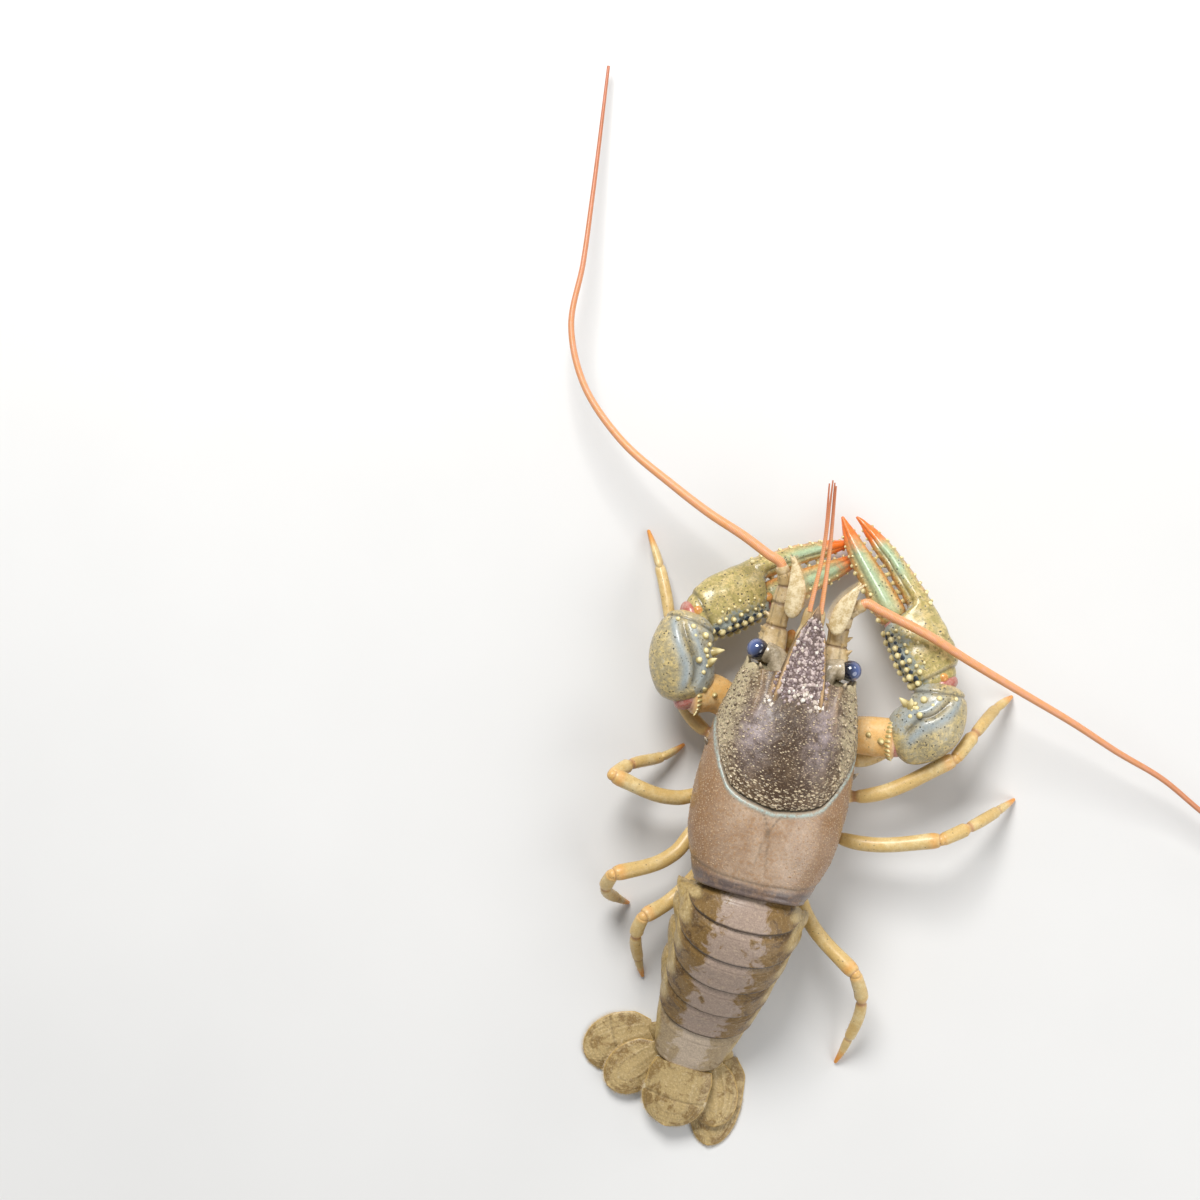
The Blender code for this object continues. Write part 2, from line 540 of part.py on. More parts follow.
def groove_forward(angle):
    """Return how far forward of its middle the neck groove runs at an angle from the top."""
    return curve(GROOVE_ANGLE, GROOVE_FORWARD, np.abs(np.degrees(angle)))


def carapace_rings(lengths, sides):
    """Return carapace rings that bend along the neck groove, with the groove pressed in."""
    angle = -math.pi + (np.arange(sides) + 0.5) * 2.0 * math.pi / sides
    lengths = np.asarray(lengths, float)[:, None]
    behind = np.clip(lengths / GROOVE_Y, 0.0, 1.0)
    ahead = np.clip((CARAPACE_FRONT - lengths) / (CARAPACE_FRONT - GROOVE_Y), 0.0, 1.0)
    flap = curve(FRONT_FLAP_ANGLE, FRONT_FLAP_SHARE, np.abs(np.degrees(angle)))[None]
    front = np.clip((lengths - FRONT_FLAP_START) / (CARAPACE_FRONT - FRONT_FLAP_START), 0.0, 1.0)
    y = (lengths + groove_forward(angle)[None] * np.minimum(behind, ahead)
         + FRONT_FLAP * flap * front)
    points = carapace_section(y, np.broadcast_to(angle[None], y.shape))
    press = np.clip(1.0 - np.abs(lengths - GROOVE_Y) / GROOVE_WIDTH, 0.0, 1.0)
    fade = np.clip((math.radians(100.0) - np.abs(angle)) / math.radians(15.0), 0.0, 1.0)
    axis = np.stack((np.zeros_like(y), y, np.full_like(y, 17.5)), axis=-1)
    inward = unit(axis - points)
    return points + (GROOVE_DEPTH * press * fade[None])[..., None] * inward


def rostrum():
    """Return the pointed beak between the eyes, hollowed on top between two raised rims."""
    stations = np.array(ROSTRUM_STATIONS)
    width = curve(ROSTRUM_Y, ROSTRUM_HALF_WIDTH, stations)
    top = curve(ROSTRUM_Y, ROSTRUM_TOP, stations)
    depth = curve(ROSTRUM_Y, ROSTRUM_DEPTH, stations)
    rim = ROSTRUM_RIM * np.clip(width / 2.0, 0.0, 1.0)
    rings = np.empty((len(stations), len(ROSTRUM_SECTION), 3))
    for j, (across_part, down_part, rim_part) in enumerate(ROSTRUM_SECTION):
        rings[:, j, 0] = across_part * width
        rings[:, j, 1] = stations
        rings[:, j, 2] = top + down_part * depth + rim_part * rim
    return loft(rings)


def carapace():
    """Make the one-piece shell over head and thorax."""
    rng = np.random.default_rng(SEED)
    near = GROOVE_WIDTH
    lengths = [-0.6, 0.6, 3.5, 7.0, 10.5, GROOVE_Y - near, GROOVE_Y, GROOVE_Y + near,
               17.5, 21.5, 25.5, 29.5, 33.0, CARAPACE_FRONT]
    rings = carapace_rings(np.clip(lengths, 0.0, None), 32)
    rings[0, :, 1] = -0.6
    inset = rings[-1].copy()
    middle = inset.mean(axis=0)
    inset = middle + (inset - middle) * 0.86
    inset[:, 1] = CARAPACE_FRONT + 0.45
    rings = np.concatenate((rings, inset[None]))
    pieces = [loft(rings), rostrum()]
    for side in SIDE.values():
        pieces.append(Tube(both_sides(EYE_RIDGE, side), EYE_RIDGE_RADIUS).solid(5, 6))
        for degrees, first, last, count in BUMP_ROWS:
            for y in np.linspace(first, last, count):
                point, out = carapace_spot(y, side * math.radians(degrees))
                size = rng.uniform(0.85, 1.15)
                pieces.append(cone(point, out, size * BUMP_RADIUS, size * BUMP_HEIGHT))
        degrees, y, radius, height = NECK_SPINE
        point, out = carapace_spot(y, side * math.radians(degrees))
        pieces.append(cone(point, out + (0.0, 0.8, 0.0), radius, height))
    return node("carapace", "shell", pieces)


def carapace_spot(y, angle, step=0.02):
    """Return a point of the carapace and its outward direction."""
    point = carapace_section(np.array([y]), np.array([angle]))[0]
    along = carapace_section(np.array([y + step]), np.array([angle]))[0] - point
    around = carapace_section(np.array([y]), np.array([angle + step]))[0] - point
    return point, unit(np.cross(around, along))


def sternum():
    """Make the plate between the legs."""
    stations = np.linspace(STERNUM_Y[0], STERNUM_Y[-1], 9)
    width = curve(STERNUM_Y, STERNUM_HALF_WIDTH, stations)
    half = (STERNUM_TOP - STERNUM_BOTTOM) / 2.0
    middle = (STERNUM_TOP + STERNUM_BOTTOM) / 2.0
    turn = np.arange(12) * 2.0 * math.pi / 12
    rings = np.empty((len(stations), 12, 3))
    rings[..., 0] = width[:, None] * power_wave(np.cos(turn), 4.0)
    rings[..., 1] = stations[:, None]
    rings[..., 2] = middle + half * power_wave(np.sin(turn), 4.0)
    return node("sternum", "underside", [loft(rings)])


def eyes():
    """Make the two eyes and their stalks."""
    for side, tag in ((-1.0, "l"), (1.0, "r")):
        stalk = Tube(both_sides(STALK_PATH, side), STALK_RADIUS)
        stem = stalk.solid(5, 10, reach=(0.8, 0.0))
        cut_plane(stem, HEAD_FACE, (0.0, -1.0, 0.0))
        node("eyestalk_" + tag, "scale", [stem])
        centre = both_sides(EYE_CENTRE, side)
        end, tangent, _, _ = stalk.frame(1.0)
        ball = ellipsoid(centre, EYE_RADII)
        cut_plane(ball, end[0] + GAP * tangent[0], -tangent[0])
        node("eye_" + tag, "eye", [ball])


def antenna_stem(tag):
    """Return the thick base of one antenna, from the face of the head to its feeler."""
    return Tube(ANTENNA_STEM[tag], ANTENNA_STEM_WIDTH, ANTENNA_STEM_HEIGHT)


def head_limbs():
    """Make antennules, antennae with their scales, and the outer mouth limbs."""
    for side, tag in ((-1.0, "l"), (1.0, "r")):
        base_path = both_sides(ANTENNULE_STEM, side)
        pieces = [Tube(base_path, ANTENNULE_STEM_RADIUS).solid(6, 8)]
        for tip, lift in zip(ANTENNULE_TIPS[tag], ANTENNULE_LIFT):
            root, middle = base_path[-1] - (0.0, 0.8, 0.0), np.asarray(ANTENNULE_MIDDLE[tag])
            line = (root + (0.0, 0.0, lift), middle + (0.0, 0.0, lift), tip)
            pieces.append(Tube(line, ANTENNULE_RADIUS).solid(7, 6))
        node("antennule_" + tag, "antenna", pieces)

        stem = antenna_stem(tag)
        stump = stem.solid(10, 10, reach=(0.8, 0.0))
        cut_plane(stump, HEAD_FACE, (0.0, -1.0, 0.0))
        spines = [cone(*stem.spot(place, degrees if side < 0.0 else 180.0 - degrees), radius, height)
                  for place, degrees, radius, height in ANTENNA_SPINES]
        node("antenna_base_" + tag, "scale", [stump] + spines)

        blade = Tube(ANTENNA_SCALE[tag], ANTENNA_SCALE_WIDTH, ANTENNA_SCALE_HEIGHT)
        node("antenna_scale_" + tag, "scale", [blade.solid(8, 10)])

        jaw = Tube(both_sides(MAXILLIPED, side), MAXILLIPED_RADIUS)
        node("maxilliped_" + tag, "leg", [jaw.solid(8, 8)])


def flagella():
    """Make each long feeler as three lengths that follow one smooth line."""
    lengths = 3
    for tag, line in FLAGELLA.items():
        end, way, _, _ = antenna_stem(tag).frame(1.0)
        points = (end[0] + GAP * way[0], end[0] + 1.1 * way[0], *line)
        whole = Tube(points, np.linspace(FLAGELLUM_BASE_RADIUS, FLAGELLUM_TIP_RADIUS, 5))
        total = np.linalg.norm(np.diff(path_curve(points, np.linspace(0, 1, 200)), axis=0),
                               axis=1).sum()
        slack = GAP / total / 2.0
        for part in range(lengths):
            start = part / lengths + (slack if part else 0.0)
            stop = (part + 1) / lengths - slack
            feeler = loft(whole.rings(np.linspace(start, stop, 15), 5))
            node(f"flagellum_{tag}{part + 1}", "antenna", [feeler])


class Joint:
    """The frame of one joint plane of the abdomen."""

    def __init__(self, place):
        knots = np.arange(len(RIM_X))
        self.top = np.array([curve(knots, values, [place])[0] for values in (RIM_X, RIM_Y, RIM_Z)])
        pitch = math.radians(curve(knots, RIM_PITCH, [place])[0])
        yaw = math.radians(curve(knots, RIM_YAW, [place])[0])
        self.width = curve(knots, RIM_HALF_WIDTH, [place])[0]
        self.height = curve(knots, RIM_HEIGHT, [place])[0]
        self.back = np.array((-math.sin(yaw) * math.cos(pitch), -math.cos(yaw) * math.cos(pitch),
                              -math.sin(pitch)))
        self.side = np.array((math.cos(yaw), -math.sin(yaw), 0.0))
        self.up = np.cross(self.back, self.side)

    def ring(self, swell, lobe, shift=0.0):
        """Return one ring of the segment: an arch with a side flap hung on each end."""
        width, height = self.width + swell, self.height
        arch = np.radians(np.linspace(-90.0, 90.0, 11))
        x = width * power_wave(np.sin(arch), 2.2)
        down = 0.78 * height * (power_wave(np.cos(arch), 2.2) - 1.0) + swell
        flap = ((1.0, -1.0, -0.75, 0.0), (1.0, -1.0, -1.0, 0.35), (1.0, -1.0, -0.7, 1.0),
                (0.0, -1.0, 0.0, 1.5))
        lower_x = [width - inset * PLEURON_THICKNESS + PLEURON_FLARE * lobe * out
                   for out, _, _, inset in flap]
        lower_z = [full * height + part * lobe for _, full, part, _ in flap]
        x = np.concatenate((x, lower_x, [0.0], -np.array(lower_x[::-1])))
        down = np.concatenate((down, lower_z, [-height], lower_z[::-1]))
        return (self.top + shift * self.back + x[:, None] * self.side
                + down[:, None] * self.up)


def abdomen():
    """Make the six segments, each a little wider at the rear so that it laps the next."""
    for index in range(6):
        places = np.linspace(0.0, 1.0, 7)
        swell = curve((0.0, 0.3, 1.0), (-SEGMENT_STEP, 0.0, 0.15), places)
        lobes = PLEURON_DEPTH[index] * np.sin(math.pi * places ** 1.2) ** 0.7
        rings = []
        for place, wide, lobe in zip(places, swell, lobes):
            shift = GAP / 2.0 if place == 0.0 else (-GAP / 2.0 if place == 1.0 else 0.0)
            rings.append(Joint(index + place).ring(wide, max(lobe, 0.05), shift))
        pieces = [loft(rings)]
        if index + 1 in SWIMMERET_LENGTH:
            pieces += swimmerets(Joint(index + 0.55), SWIMMERET_LENGTH[index + 1])
        if index == 5:
            pieces += [uropod_stub(name) for name in FAN if name != "telson"]
        node(f"abdomen_{index + 1}", "abdomen", pieces)


def swimmerets(joint, length):
    """Return the pair of small blades below one segment, swept forward."""
    blades = []
    for side in SIDE.values():
        root = joint.top + side * SWIMMERET_X * joint.side - (joint.height - 0.6) * joint.up
        tip = root - (length + 0.6) * joint.up - 0.45 * length * joint.back
        blades.append(Tube((root, tip), (0.55, 0.85, 0.35), (0.5, 0.45, 0.25),
                           up=joint.side).solid(4, 6))
    return blades


def uropod_stub(name):
    """Return the short root that carries one side blade, joined into the last segment."""
    root, tip, widths, thickness, crown = FAN[name]
    ring = plate_rings(root, tip, widths, thickness, crown)[0]
    way = unit(np.subtract(tip, root))
    start = ring - GAP * way
    socket = np.asarray(UROPOD_SOCKET[name])
    middle = start.mean(axis=0)
    half = 0.5 * (middle + socket) + 0.75 * (start - middle) + (0.0, 0.0, 0.2)
    return loft([start, half, socket + 0.5 * (start - middle)])


def plate_rings(root, tip, widths, thickness, crown):
    """Return rings of a thin fan plate from root to tip, thicker at its root."""
    root, tip = np.asarray(root, float), np.asarray(tip, float)
    axis = unit(tip - root)
    side = unit(np.cross(axis, (0.0, 0.0, 1.0)))
    up = np.cross(side, axis)
    t = 1.0 - (1.0 - np.linspace(0.0, 1.0, 10)) ** 1.35
    half = curve(PLATE_KNOTS, widths, t)
    turn = np.arange(PLATE_SIDES) * 2.0 * math.pi / PLATE_SIDES
    rings = np.empty((len(t), PLATE_SIDES, 3))
    for i, (place, width) in enumerate(zip(t, half)):
        x = width * power_wave(np.cos(turn), 2.6)
        lift = crown * (1.0 - (x / max(width, 0.01)) ** 2) * (np.sin(turn) > 0.0)
        thick = thickness * (1.0 + PLATE_ROOT_SWELL[thickness > PLATE_THICKNESS] * (1.0 - place) ** 3)
        z = thick / 2.0 * power_wave(np.sin(turn), 3.5) + lift
        rings[i] = root + place * (tip - root) + x[:, None] * side + z[:, None] * up
    return rings


def tail_fan():
    """Make the telson with its side spines and the two pairs of side blades."""
    for name, sizes in FAN.items():
        rings = plate_rings(*sizes)
        pieces = [loft(rings)]
        if name == "telson":
            root, tip = np.asarray(sizes[0]), np.asarray(sizes[1])
            way = unit(tip - root)
            side = unit(np.cross(way, (0.0, 0.0, 1.0)))
            for place, offset in TELSON_SPINES:
                spot = root + place * (tip - root) + offset * side
                pieces.append(cone(spot, way + TELSON_SPINE_SPLAY * offset * side,
                                   TELSON_SPINE_RADIUS, TELSON_SPINE_HEIGHT, sunk=0.6))
        node(name, "abdomen", pieces)


class Claw:
    """The hand of one cheliped in its own frame: along, out to the fixed finger, and up."""

    def __init__(self, base, heading, pitch, out_sign):
        heading, pitch = math.radians(heading), math.radians(pitch)
        self.base = np.asarray(base, float)
        self.out_sign = out_sign
        self.along = np.array((math.cos(heading) * math.cos(pitch),
                               math.sin(heading) * math.cos(pitch), -math.sin(pitch)))
        self.out = out_sign * unit(np.cross(self.along, (0.0, 0.0, 1.0)))
        self.up = unit(np.cross(self.out, self.along)) * out_sign

    def place(self, along, out, up=0.0):
        """Return world points for places in the claw's own frame."""
        along, out, up = (np.atleast_1d(np.asarray(v, float))[:, None] for v in (along, out, up))
        return self.base + along * self.along + out * self.out + up * self.up

    def palm(self, stations, sides):
        """Return rings of the palm, wider towards the fixed finger."""
        outer = curve(PALM_S, PALM_OUTER, stations)[:, None]
        inner = curve(PALM_S, PALM_INNER, stations)[:, None]
        height = curve(PALM_S, PALM_HALF_HEIGHT, stations)[:, None]
        turn = (np.arange(sides) * 2.0 * math.pi / sides)[None]
        cosine = power_wave(np.cos(turn), 2.2)
        out = np.where(cosine > 0.0, outer, inner) * cosine
        up = height * power_wave(np.sin(turn), 2.2)
        along = np.broadcast_to(np.asarray(stations, float)[:, None], out.shape)
        shape = out.shape + (3,)
        return self.place(along.ravel(), out.ravel(), up.ravel()).reshape(shape)

    def palm_spot(self, station, turn, step=0.02):
        """Return a point of the palm and its outward direction."""
        def place(along, angle):
            cosine = power_wave(math.cos(angle), 2.2)
            half = curve(PALM_S, PALM_OUTER if cosine > 0.0 else PALM_INNER, [along])[0]
            height = curve(PALM_S, PALM_HALF_HEIGHT, [along])[0]
            return self.place(along, half * cosine, height * power_wave(math.sin(angle), 2.2))[0]
        point = place(station, turn)
        way = np.cross(place(station, turn + step) - point, place(station + step, turn) - point)
        return point, unit(way) * np.sign(way @ (point - self.place(station, 0.0)[0]))

    def turn(self, degrees):
        """Return the angle round a finger, counted from its outer side on either claw."""
        return degrees if self.out_sign > 0.0 else 180.0 - degrees

    def finger(self, knots, offsets, widths, heights):
        """Return a finger as a tube in the claw's plane."""
        return Tube(self.place(knots, offsets), widths, heights, up=self.up,
                    knots=self.arc_knots(knots, offsets))

    def arc_knots(self, knots, offsets):
        """Return the share of the length reached at each knot of a finger."""
        steps = np.hypot(np.diff(knots), np.diff(offsets))
        return np.concatenate(([0.0], np.cumsum(steps))) / steps.sum()


CLAWS = {"r": Claw((22.9, 39.6, 12.0), 130.2, 13.0, 1.0),
         "l": Claw((-18.3, 40.9, 10.4), 35.6, 15.0, -1.0)}

def chelipeds():
    """Make the two big claws with their arms."""
    rng = np.random.default_rng(SEED + 1)
    for tag, claw in CLAWS.items():
        ischium = Tube(CHELIPED_ROOT[tag], CHELIPED_ISCHIUM)
        merus = Tube(CHELIPED_MERUS[tag], CHELIPED_MERUS_WIDTH, CHELIPED_MERUS_HEIGHT)
        near, far = ischium.solid(4, 10, reach=(1.0, 1.0)), merus.solid(7, 12, reach=(1.0, 3.5))
        cut_plane(near, (SIDE[tag] * LEG_ROOT, 0.0, 0.0), (-SIDE[tag], 0.0, 0.0))
        elbow, first_way, _, _ = ischium.frame(1.0)
        mitre(near, far, elbow[0], first_way[0], merus.frame(0.0)[1][0])
        arm = Tube(CARPUS_PATH[tag], CARPUS_WIDTH, CARPUS_HEIGHT)
        wrist = arm.solid(8, 14, reach=(4.0, 2.5))
        bend, first_way, _, _ = merus.frame(1.0)
        mitre(far, wrist, bend[0], first_way[0], arm.frame(0.0)[1][0])
        spines = [cone(*merus.spot(place, degrees), radius, height, sunk=0.5)
                  for place, degrees, radius, height in MERUS_BUMPS]
        node("cheliped_ischium_" + tag, "leg", [near])
        node("cheliped_merus_" + tag, "leg", [far] + spines)

        cut_plane(wrist, claw.base - GAP * claw.along, claw.along)
        spines = [cone(*arm.spot(place, claw.turn(degrees)), radius, height, sunk=0.5)
                  for place, degrees, radius, height in CARPUS_BUMPS]
        node("carpus_" + tag, "claw", [wrist] + spines, solver="MANIFOLD")

        palm = loft(claw.palm(np.array(PALM_STATIONS), 18))
        fixed = claw.finger(FIXED_S, FIXED_OFFSET, FIXED_HALF_WIDTH, FIXED_HALF_HEIGHT)
        bumps = palm_bumps(claw, rng) + finger_bumps(claw, fixed, FIXED_BUMPS, rng)
        node("palm_" + tag, "claw", [palm, fixed.solid(10, 10)] + bumps)
        dactyl = claw.finger(DACTYL_S, DACTYL_OFFSET, DACTYL_HALF_WIDTH, DACTYL_HALF_HEIGHT)
        bumps = finger_bumps(claw, dactyl, DACTYL_BUMPS, rng)
        node("dactyl_" + tag, "claw", [dactyl.solid(10, 10)] + bumps)


def palm_bumps(claw, rng):
    """Return the rows of bumps along the inner edge of a palm."""
    bumps = []
    for degrees, first, last, count, size in PALM_BUMPS:
        for place in np.linspace(first, last, count):
            point, out = claw.palm_spot(place, math.radians(degrees))
            radius = size * rng.uniform(0.85, 1.15)
            bumps.append(cone(point, out + 0.35 * claw.along, radius, 1.1 * radius))
    return bumps


def finger_bumps(claw, finger, rows, rng):
    """Return bumps and biting teeth in rows along one finger."""
    bumps = []
    for degrees, first, last, count, size in rows:
        for place in np.linspace(first, last, count):
            point, out = finger.spot(place, claw.turn(degrees))
            radius = size * (1.15 - 0.45 * place) * rng.uniform(0.9, 1.1)
            bumps.append(cone(point, out, radius, 1.05 * radius))
    return bumps


def legs():
    """Make the eight walking legs, each as an upper and a lower length."""
    for name, (upper, lower) in LEGS.items():
        thigh = Tube(jointed(upper, LEG_BEND), LEG_UPPER, knots=LEG_UPPER_S)
        shin = Tube(jointed(lower, LEG_BEND), LEG_LOWER, knots=LEG_LOWER_S)
        side = SIDE[name[-1]]
        knee, first_way, _, _ = thigh.frame(1.0)
        second_way = shin.frame(0.0)[1][0]
        bend = math.acos(float(np.clip(first_way[0] @ second_way, -1.0, 1.0)))
        reach = 1.2 * math.tan(bend / 2.0) + 0.2
        leg, foot = thigh.solid(12, 8, reach=(1.5, reach)), shin.solid(12, 8, reach=(reach, 0.0))
        cut_plane(leg, (side * LEG_ROOT, 0.0, 0.0), (-side, 0.0, 0.0))
        mitre(leg, foot, knee[0], first_way[0], second_way)
        pieces = [foot]
        if name[3] in PINCER_LEGS:
            start, end = path_curve(shin.points, PINCER_SPAN) + (0.0, 0.0, PINCER_LIFT)
            pieces.append(Tube((start, end), PINCER_RADIUS).solid(4, 6))
        node(name + "_upper", "leg", [leg])
        foot = node(name + "_lower", "leg", pieces)
        cut_plane(foot, (0.0, 0.0, 0.0), (0.0, 0.0, -1.0))


def centre_model():
    """Carry all pieces on one empty that puts the middle of the footprint at the origin."""
    nodes = [obj for obj in bpy.data.objects if obj.type == "MESH"]
    corners = np.array([v.co[:] for obj in nodes for v in obj.data.vertices])
    low, high = corners.min(axis=0), corners.max(axis=0)
    carrier = bpy.data.objects.new("crayfish", None)
    bpy.context.scene.collection.objects.link(carrier)
    carrier.location = (-(low[0] + high[0]) / 2.0, -(low[1] + high[1]) / 2.0, -low[2])
    for obj in nodes:
        obj.parent = carrier


def main():
    """Build the whole animal."""
    for obj in list(bpy.data.objects):
        bpy.data.objects.remove(obj)
    carapace()
    sternum()
    eyes()
    head_limbs()
    flagella()
    abdomen()
    tail_fan()
    chelipeds()
    legs()
    centre_model()
    bpy.context.view_layer.update()


main()
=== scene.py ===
"""Dress the small river crayfish: fine shell, claws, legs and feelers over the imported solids.

Every shape is worked out in millimetres in the animal's own frame: +X is its right side, +Y runs
forward to the head, +Z is up from the floor, and the zero point lies below the middle of the
carapace's rear edge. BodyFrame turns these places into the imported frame, in metres.
"""

import logging
import math
from dataclasses import dataclass, field
from enum import Enum
from typing import Callable, Optional, Sequence

import bpy
import numpy as np
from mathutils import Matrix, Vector


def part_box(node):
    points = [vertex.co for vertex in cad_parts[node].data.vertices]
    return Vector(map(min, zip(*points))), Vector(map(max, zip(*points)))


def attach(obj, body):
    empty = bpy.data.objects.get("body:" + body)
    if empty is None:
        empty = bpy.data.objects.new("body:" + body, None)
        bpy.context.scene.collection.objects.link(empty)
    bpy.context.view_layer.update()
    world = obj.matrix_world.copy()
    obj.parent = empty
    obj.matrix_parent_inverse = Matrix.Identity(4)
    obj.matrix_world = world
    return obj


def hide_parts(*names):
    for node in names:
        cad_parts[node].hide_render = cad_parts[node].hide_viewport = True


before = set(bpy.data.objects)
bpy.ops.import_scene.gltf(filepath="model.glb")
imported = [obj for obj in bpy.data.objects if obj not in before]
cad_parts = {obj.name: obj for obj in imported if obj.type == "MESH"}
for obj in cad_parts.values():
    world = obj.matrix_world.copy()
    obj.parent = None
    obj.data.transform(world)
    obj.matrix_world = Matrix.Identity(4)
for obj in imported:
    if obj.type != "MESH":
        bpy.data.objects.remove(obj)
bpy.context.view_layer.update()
Array = np.ndarray
Row = Sequence[float]
Rows = Sequence[Row]
Colour = tuple[float, float, float]
MM = 0.001
TAU = 2 * math.pi
SEED = 29
SIDE = {"l": -1, "r": 1}
LOG = logging.getLogger("crayfish")


# Numbers and curves


def cubic(knots: Array, values: Array, slopes: Array, at: Array) -> Array:
    """Return piecewise cubics: each end value and end slope of a stretch times its own cubic.

    Args:
        knots: Rising places.
        values: The value, or row of values, at each knot.
        slopes: The slope at each knot, shaped like the values.
        at: Places to read, held within the first and last knot.

    Returns:
        One value or row for each place.
    """
    at = np.clip(at, knots[0], knots[-1])
    i = np.clip(np.searchsorted(knots, at, side="right") - 1, 0, len(knots) - 2)
    widen = (...,) + (None,) * (values.ndim - 1)
    step = (knots[i + 1] - knots[i])[widen]
    t = (at - knots[i])[widen] / step
    return ((1 + 2 * t) * (1 - t) ** 2 * values[i] + t * (1 - t) ** 2 * step * slopes[i]
        + t * t * (3 - 2 * t) * values[i + 1] + t * t * (t - 1) * step * slopes[i + 1])


def curve(knots: Row, values: Row, at: Array) -> Array:
    """Return the smooth curve through (knots, values), which never overshoots.

    The slope at a knot is the harmonic mean of the slopes beside it, and zero where these have
    opposite signs.

    Args:
        knots: Rising places along the curve.
        values: The value at each knot.
        at: Places to read.

    Returns:
        One value for each place.
    """
    knots, values = np.asarray(knots, float), np.asarray(values, float)
    chords = np.diff(values) / np.diff(knots)
    before, after = chords[:-1], chords[1:]
    total = np.where(np.abs(before + after) < 1e-12, 1, before + after)
    inner = np.where(before * after > 0, 2 * before * after / total, 0)
    return cubic(knots, values, np.concatenate((chords[:1], inner, chords[-1:])), at)


def path_curve(points: Rows, at: Array) -> Array:
    """Return points along a smooth line whose knots are timed by their distance.

    The slope at a point is the mean of the chords beside it, each weighted by the other's length.

    Args:
        points: Places on the line, one row each.
        at: Shares of the whole length, 0 to 1.

    Returns:
        One row for each share.
    """
    points = np.asarray(points, float)
    lengths = np.linalg.norm(np.diff(points, axis=0), axis=1)
    knots = np.concatenate(([0], np.cumsum(lengths))) / lengths.sum()
    steps = np.diff(knots)[:, None]
    chords = np.diff(points, axis=0) / steps
    inner = (chords[:-1] * steps[1:] + chords[1:] * steps[:-1]) / (steps[1:] + steps[:-1])
    return cubic(knots, points, np.concatenate((chords[:1], inner, chords[-1:])), at)


def unit(vectors: Array) -> Array:
    """Return the vectors at length one."""
    vectors = np.asarray(vectors, float)
    return vectors / np.maximum(np.linalg.norm(vectors, axis=-1, keepdims=True), 1e-12)


def power_wave(value: Array, power: float) -> Array:
    """Return value to the power 2 / power with its sign kept, for rounded sections."""
    return np.sign(value) * np.abs(value) ** (2 / power)


def rise(value: Array, low: float, high: float) -> Array:
    """Return 0 below low and 1 above high, with a smooth step 3t^2 - 2t^3 between them."""
    t = np.clip((np.asarray(value, float) - low) / (high - low), 0, 1)
    return t * t * (3 - 2 * t)


def hill(value: Array, centre: float, width: float) -> Array:
    """Return the bell exp(-((value - centre) / width)^2)."""
    return np.exp(-((np.asarray(value, float) - centre) / width) ** 2)


def turns(sides: int) -> Array:
    """Return evenly spaced angles once round, in radians."""
    return np.arange(sides) * TAU / sides


def grid(*parts: Array) -> Array:
    """Return rows made of the parts, which are first widened to one shape."""
    return np.stack(np.broadcast_arrays(*parts), axis=-1)


def stations(*stretches: Row) -> Array:
    """Return a column of places: (start, end, count) for each stretch, ends left to the next."""
    parts = [np.linspace(*stretch, endpoint=stretch is stretches[-1]) for stretch in stretches]
    return np.concatenate(parts)[:, None]


def bow(t: Array, start: Array, pull: Array, end: Array) -> Array:
    """Return the quadratic curve (1 - t)^2 start + 2 t (1 - t) pull + t^2 end."""
    return (1 - t) ** 2 * start + 2 * t * (1 - t) * pull + t ** 2 * end


def mirrored(points: Rows, tag: str) -> Array:
    """Return points of the right side, or their mirror image for the left side."""
    return np.asarray(points, float) * (SIDE[tag], 1, 1)


def across(direction: Array) -> tuple[Array, Array]:
    """Return two directions at right angles to each given one and to each other.

    Args:
        direction: One direction, or a row of three numbers for each.

    Returns:
        The side direction, level unless the given one is steep, and the up direction.
    """
    direction = unit(direction)
    flat = np.abs(direction[..., 2:3]) < 0.9
    side = unit(np.cross(direction, np.where(flat, (0, 0, 1), (1, 0, 0))))
    return side, np.cross(side, direction)


def ripple(points: Array, seed: int, length: float, waves: int = 14) -> Array:
    """Return a gentle unevenness: the mean of sine waves that run in many directions.

    Args:
        points: Places in millimetres.
        seed: Seed of the waves.
        length: Their usual length.
        waves: Their number.

    Returns:
        One value for each place, about -1 to 1.
    """
    rng = np.random.default_rng(seed)
    ways = unit(rng.normal(size=(waves, 3))) * rng.uniform(0.6, 1.7, (waves, 1))
    swell = np.sin(points @ ways.T * (TAU / length) + rng.uniform(0, TAU, waves))
    return swell.sum(axis=-1) / math.sqrt(waves / 2) * 0.5


# Meshes


class Mark(str, Enum):
    """Values that a piece carries at each of its points for its finish to read."""

    ALONG = "along"
    SIDE = "side"
    FRONT = "front"
    GROOVE = "groove"
    GUTTER = "gutter"
    RIM = "rim"
    JOINT = "joint"
    TIP = "tip"
    CROWN = "crown"
    PATCH = "patch"
    BLOTCH = "blotch"
    TONE = "tone"
    BAKE_U = "bake_u"
    BAKE_V = "bake_v"


Marks = dict[Mark, Array]
Shape = Callable[[Array, Array], Array]
Marker = Callable[[Array, Array], Marks]


@dataclass
class Patch:
    """One surface: points in millimetres, faces of four or three corners, and marks."""

    points: Array
    quads: Array
    triangles: Array
    marks: Marks


def lattice(rows: int, sides: int) -> Array:
    """Join rows of points by quads, each row closed on itself.

    Args:
        rows: Number of rows.
        sides: Points in a row.

    Returns:
        Four point numbers for each quad.
    """
    i, j = np.arange(rows - 1)[:, None] * sides, np.arange(sides)
    k = (j + 1) % sides
    return grid(i + j, i + k, i + k + sides, i + j + sides).reshape(-1, 4)


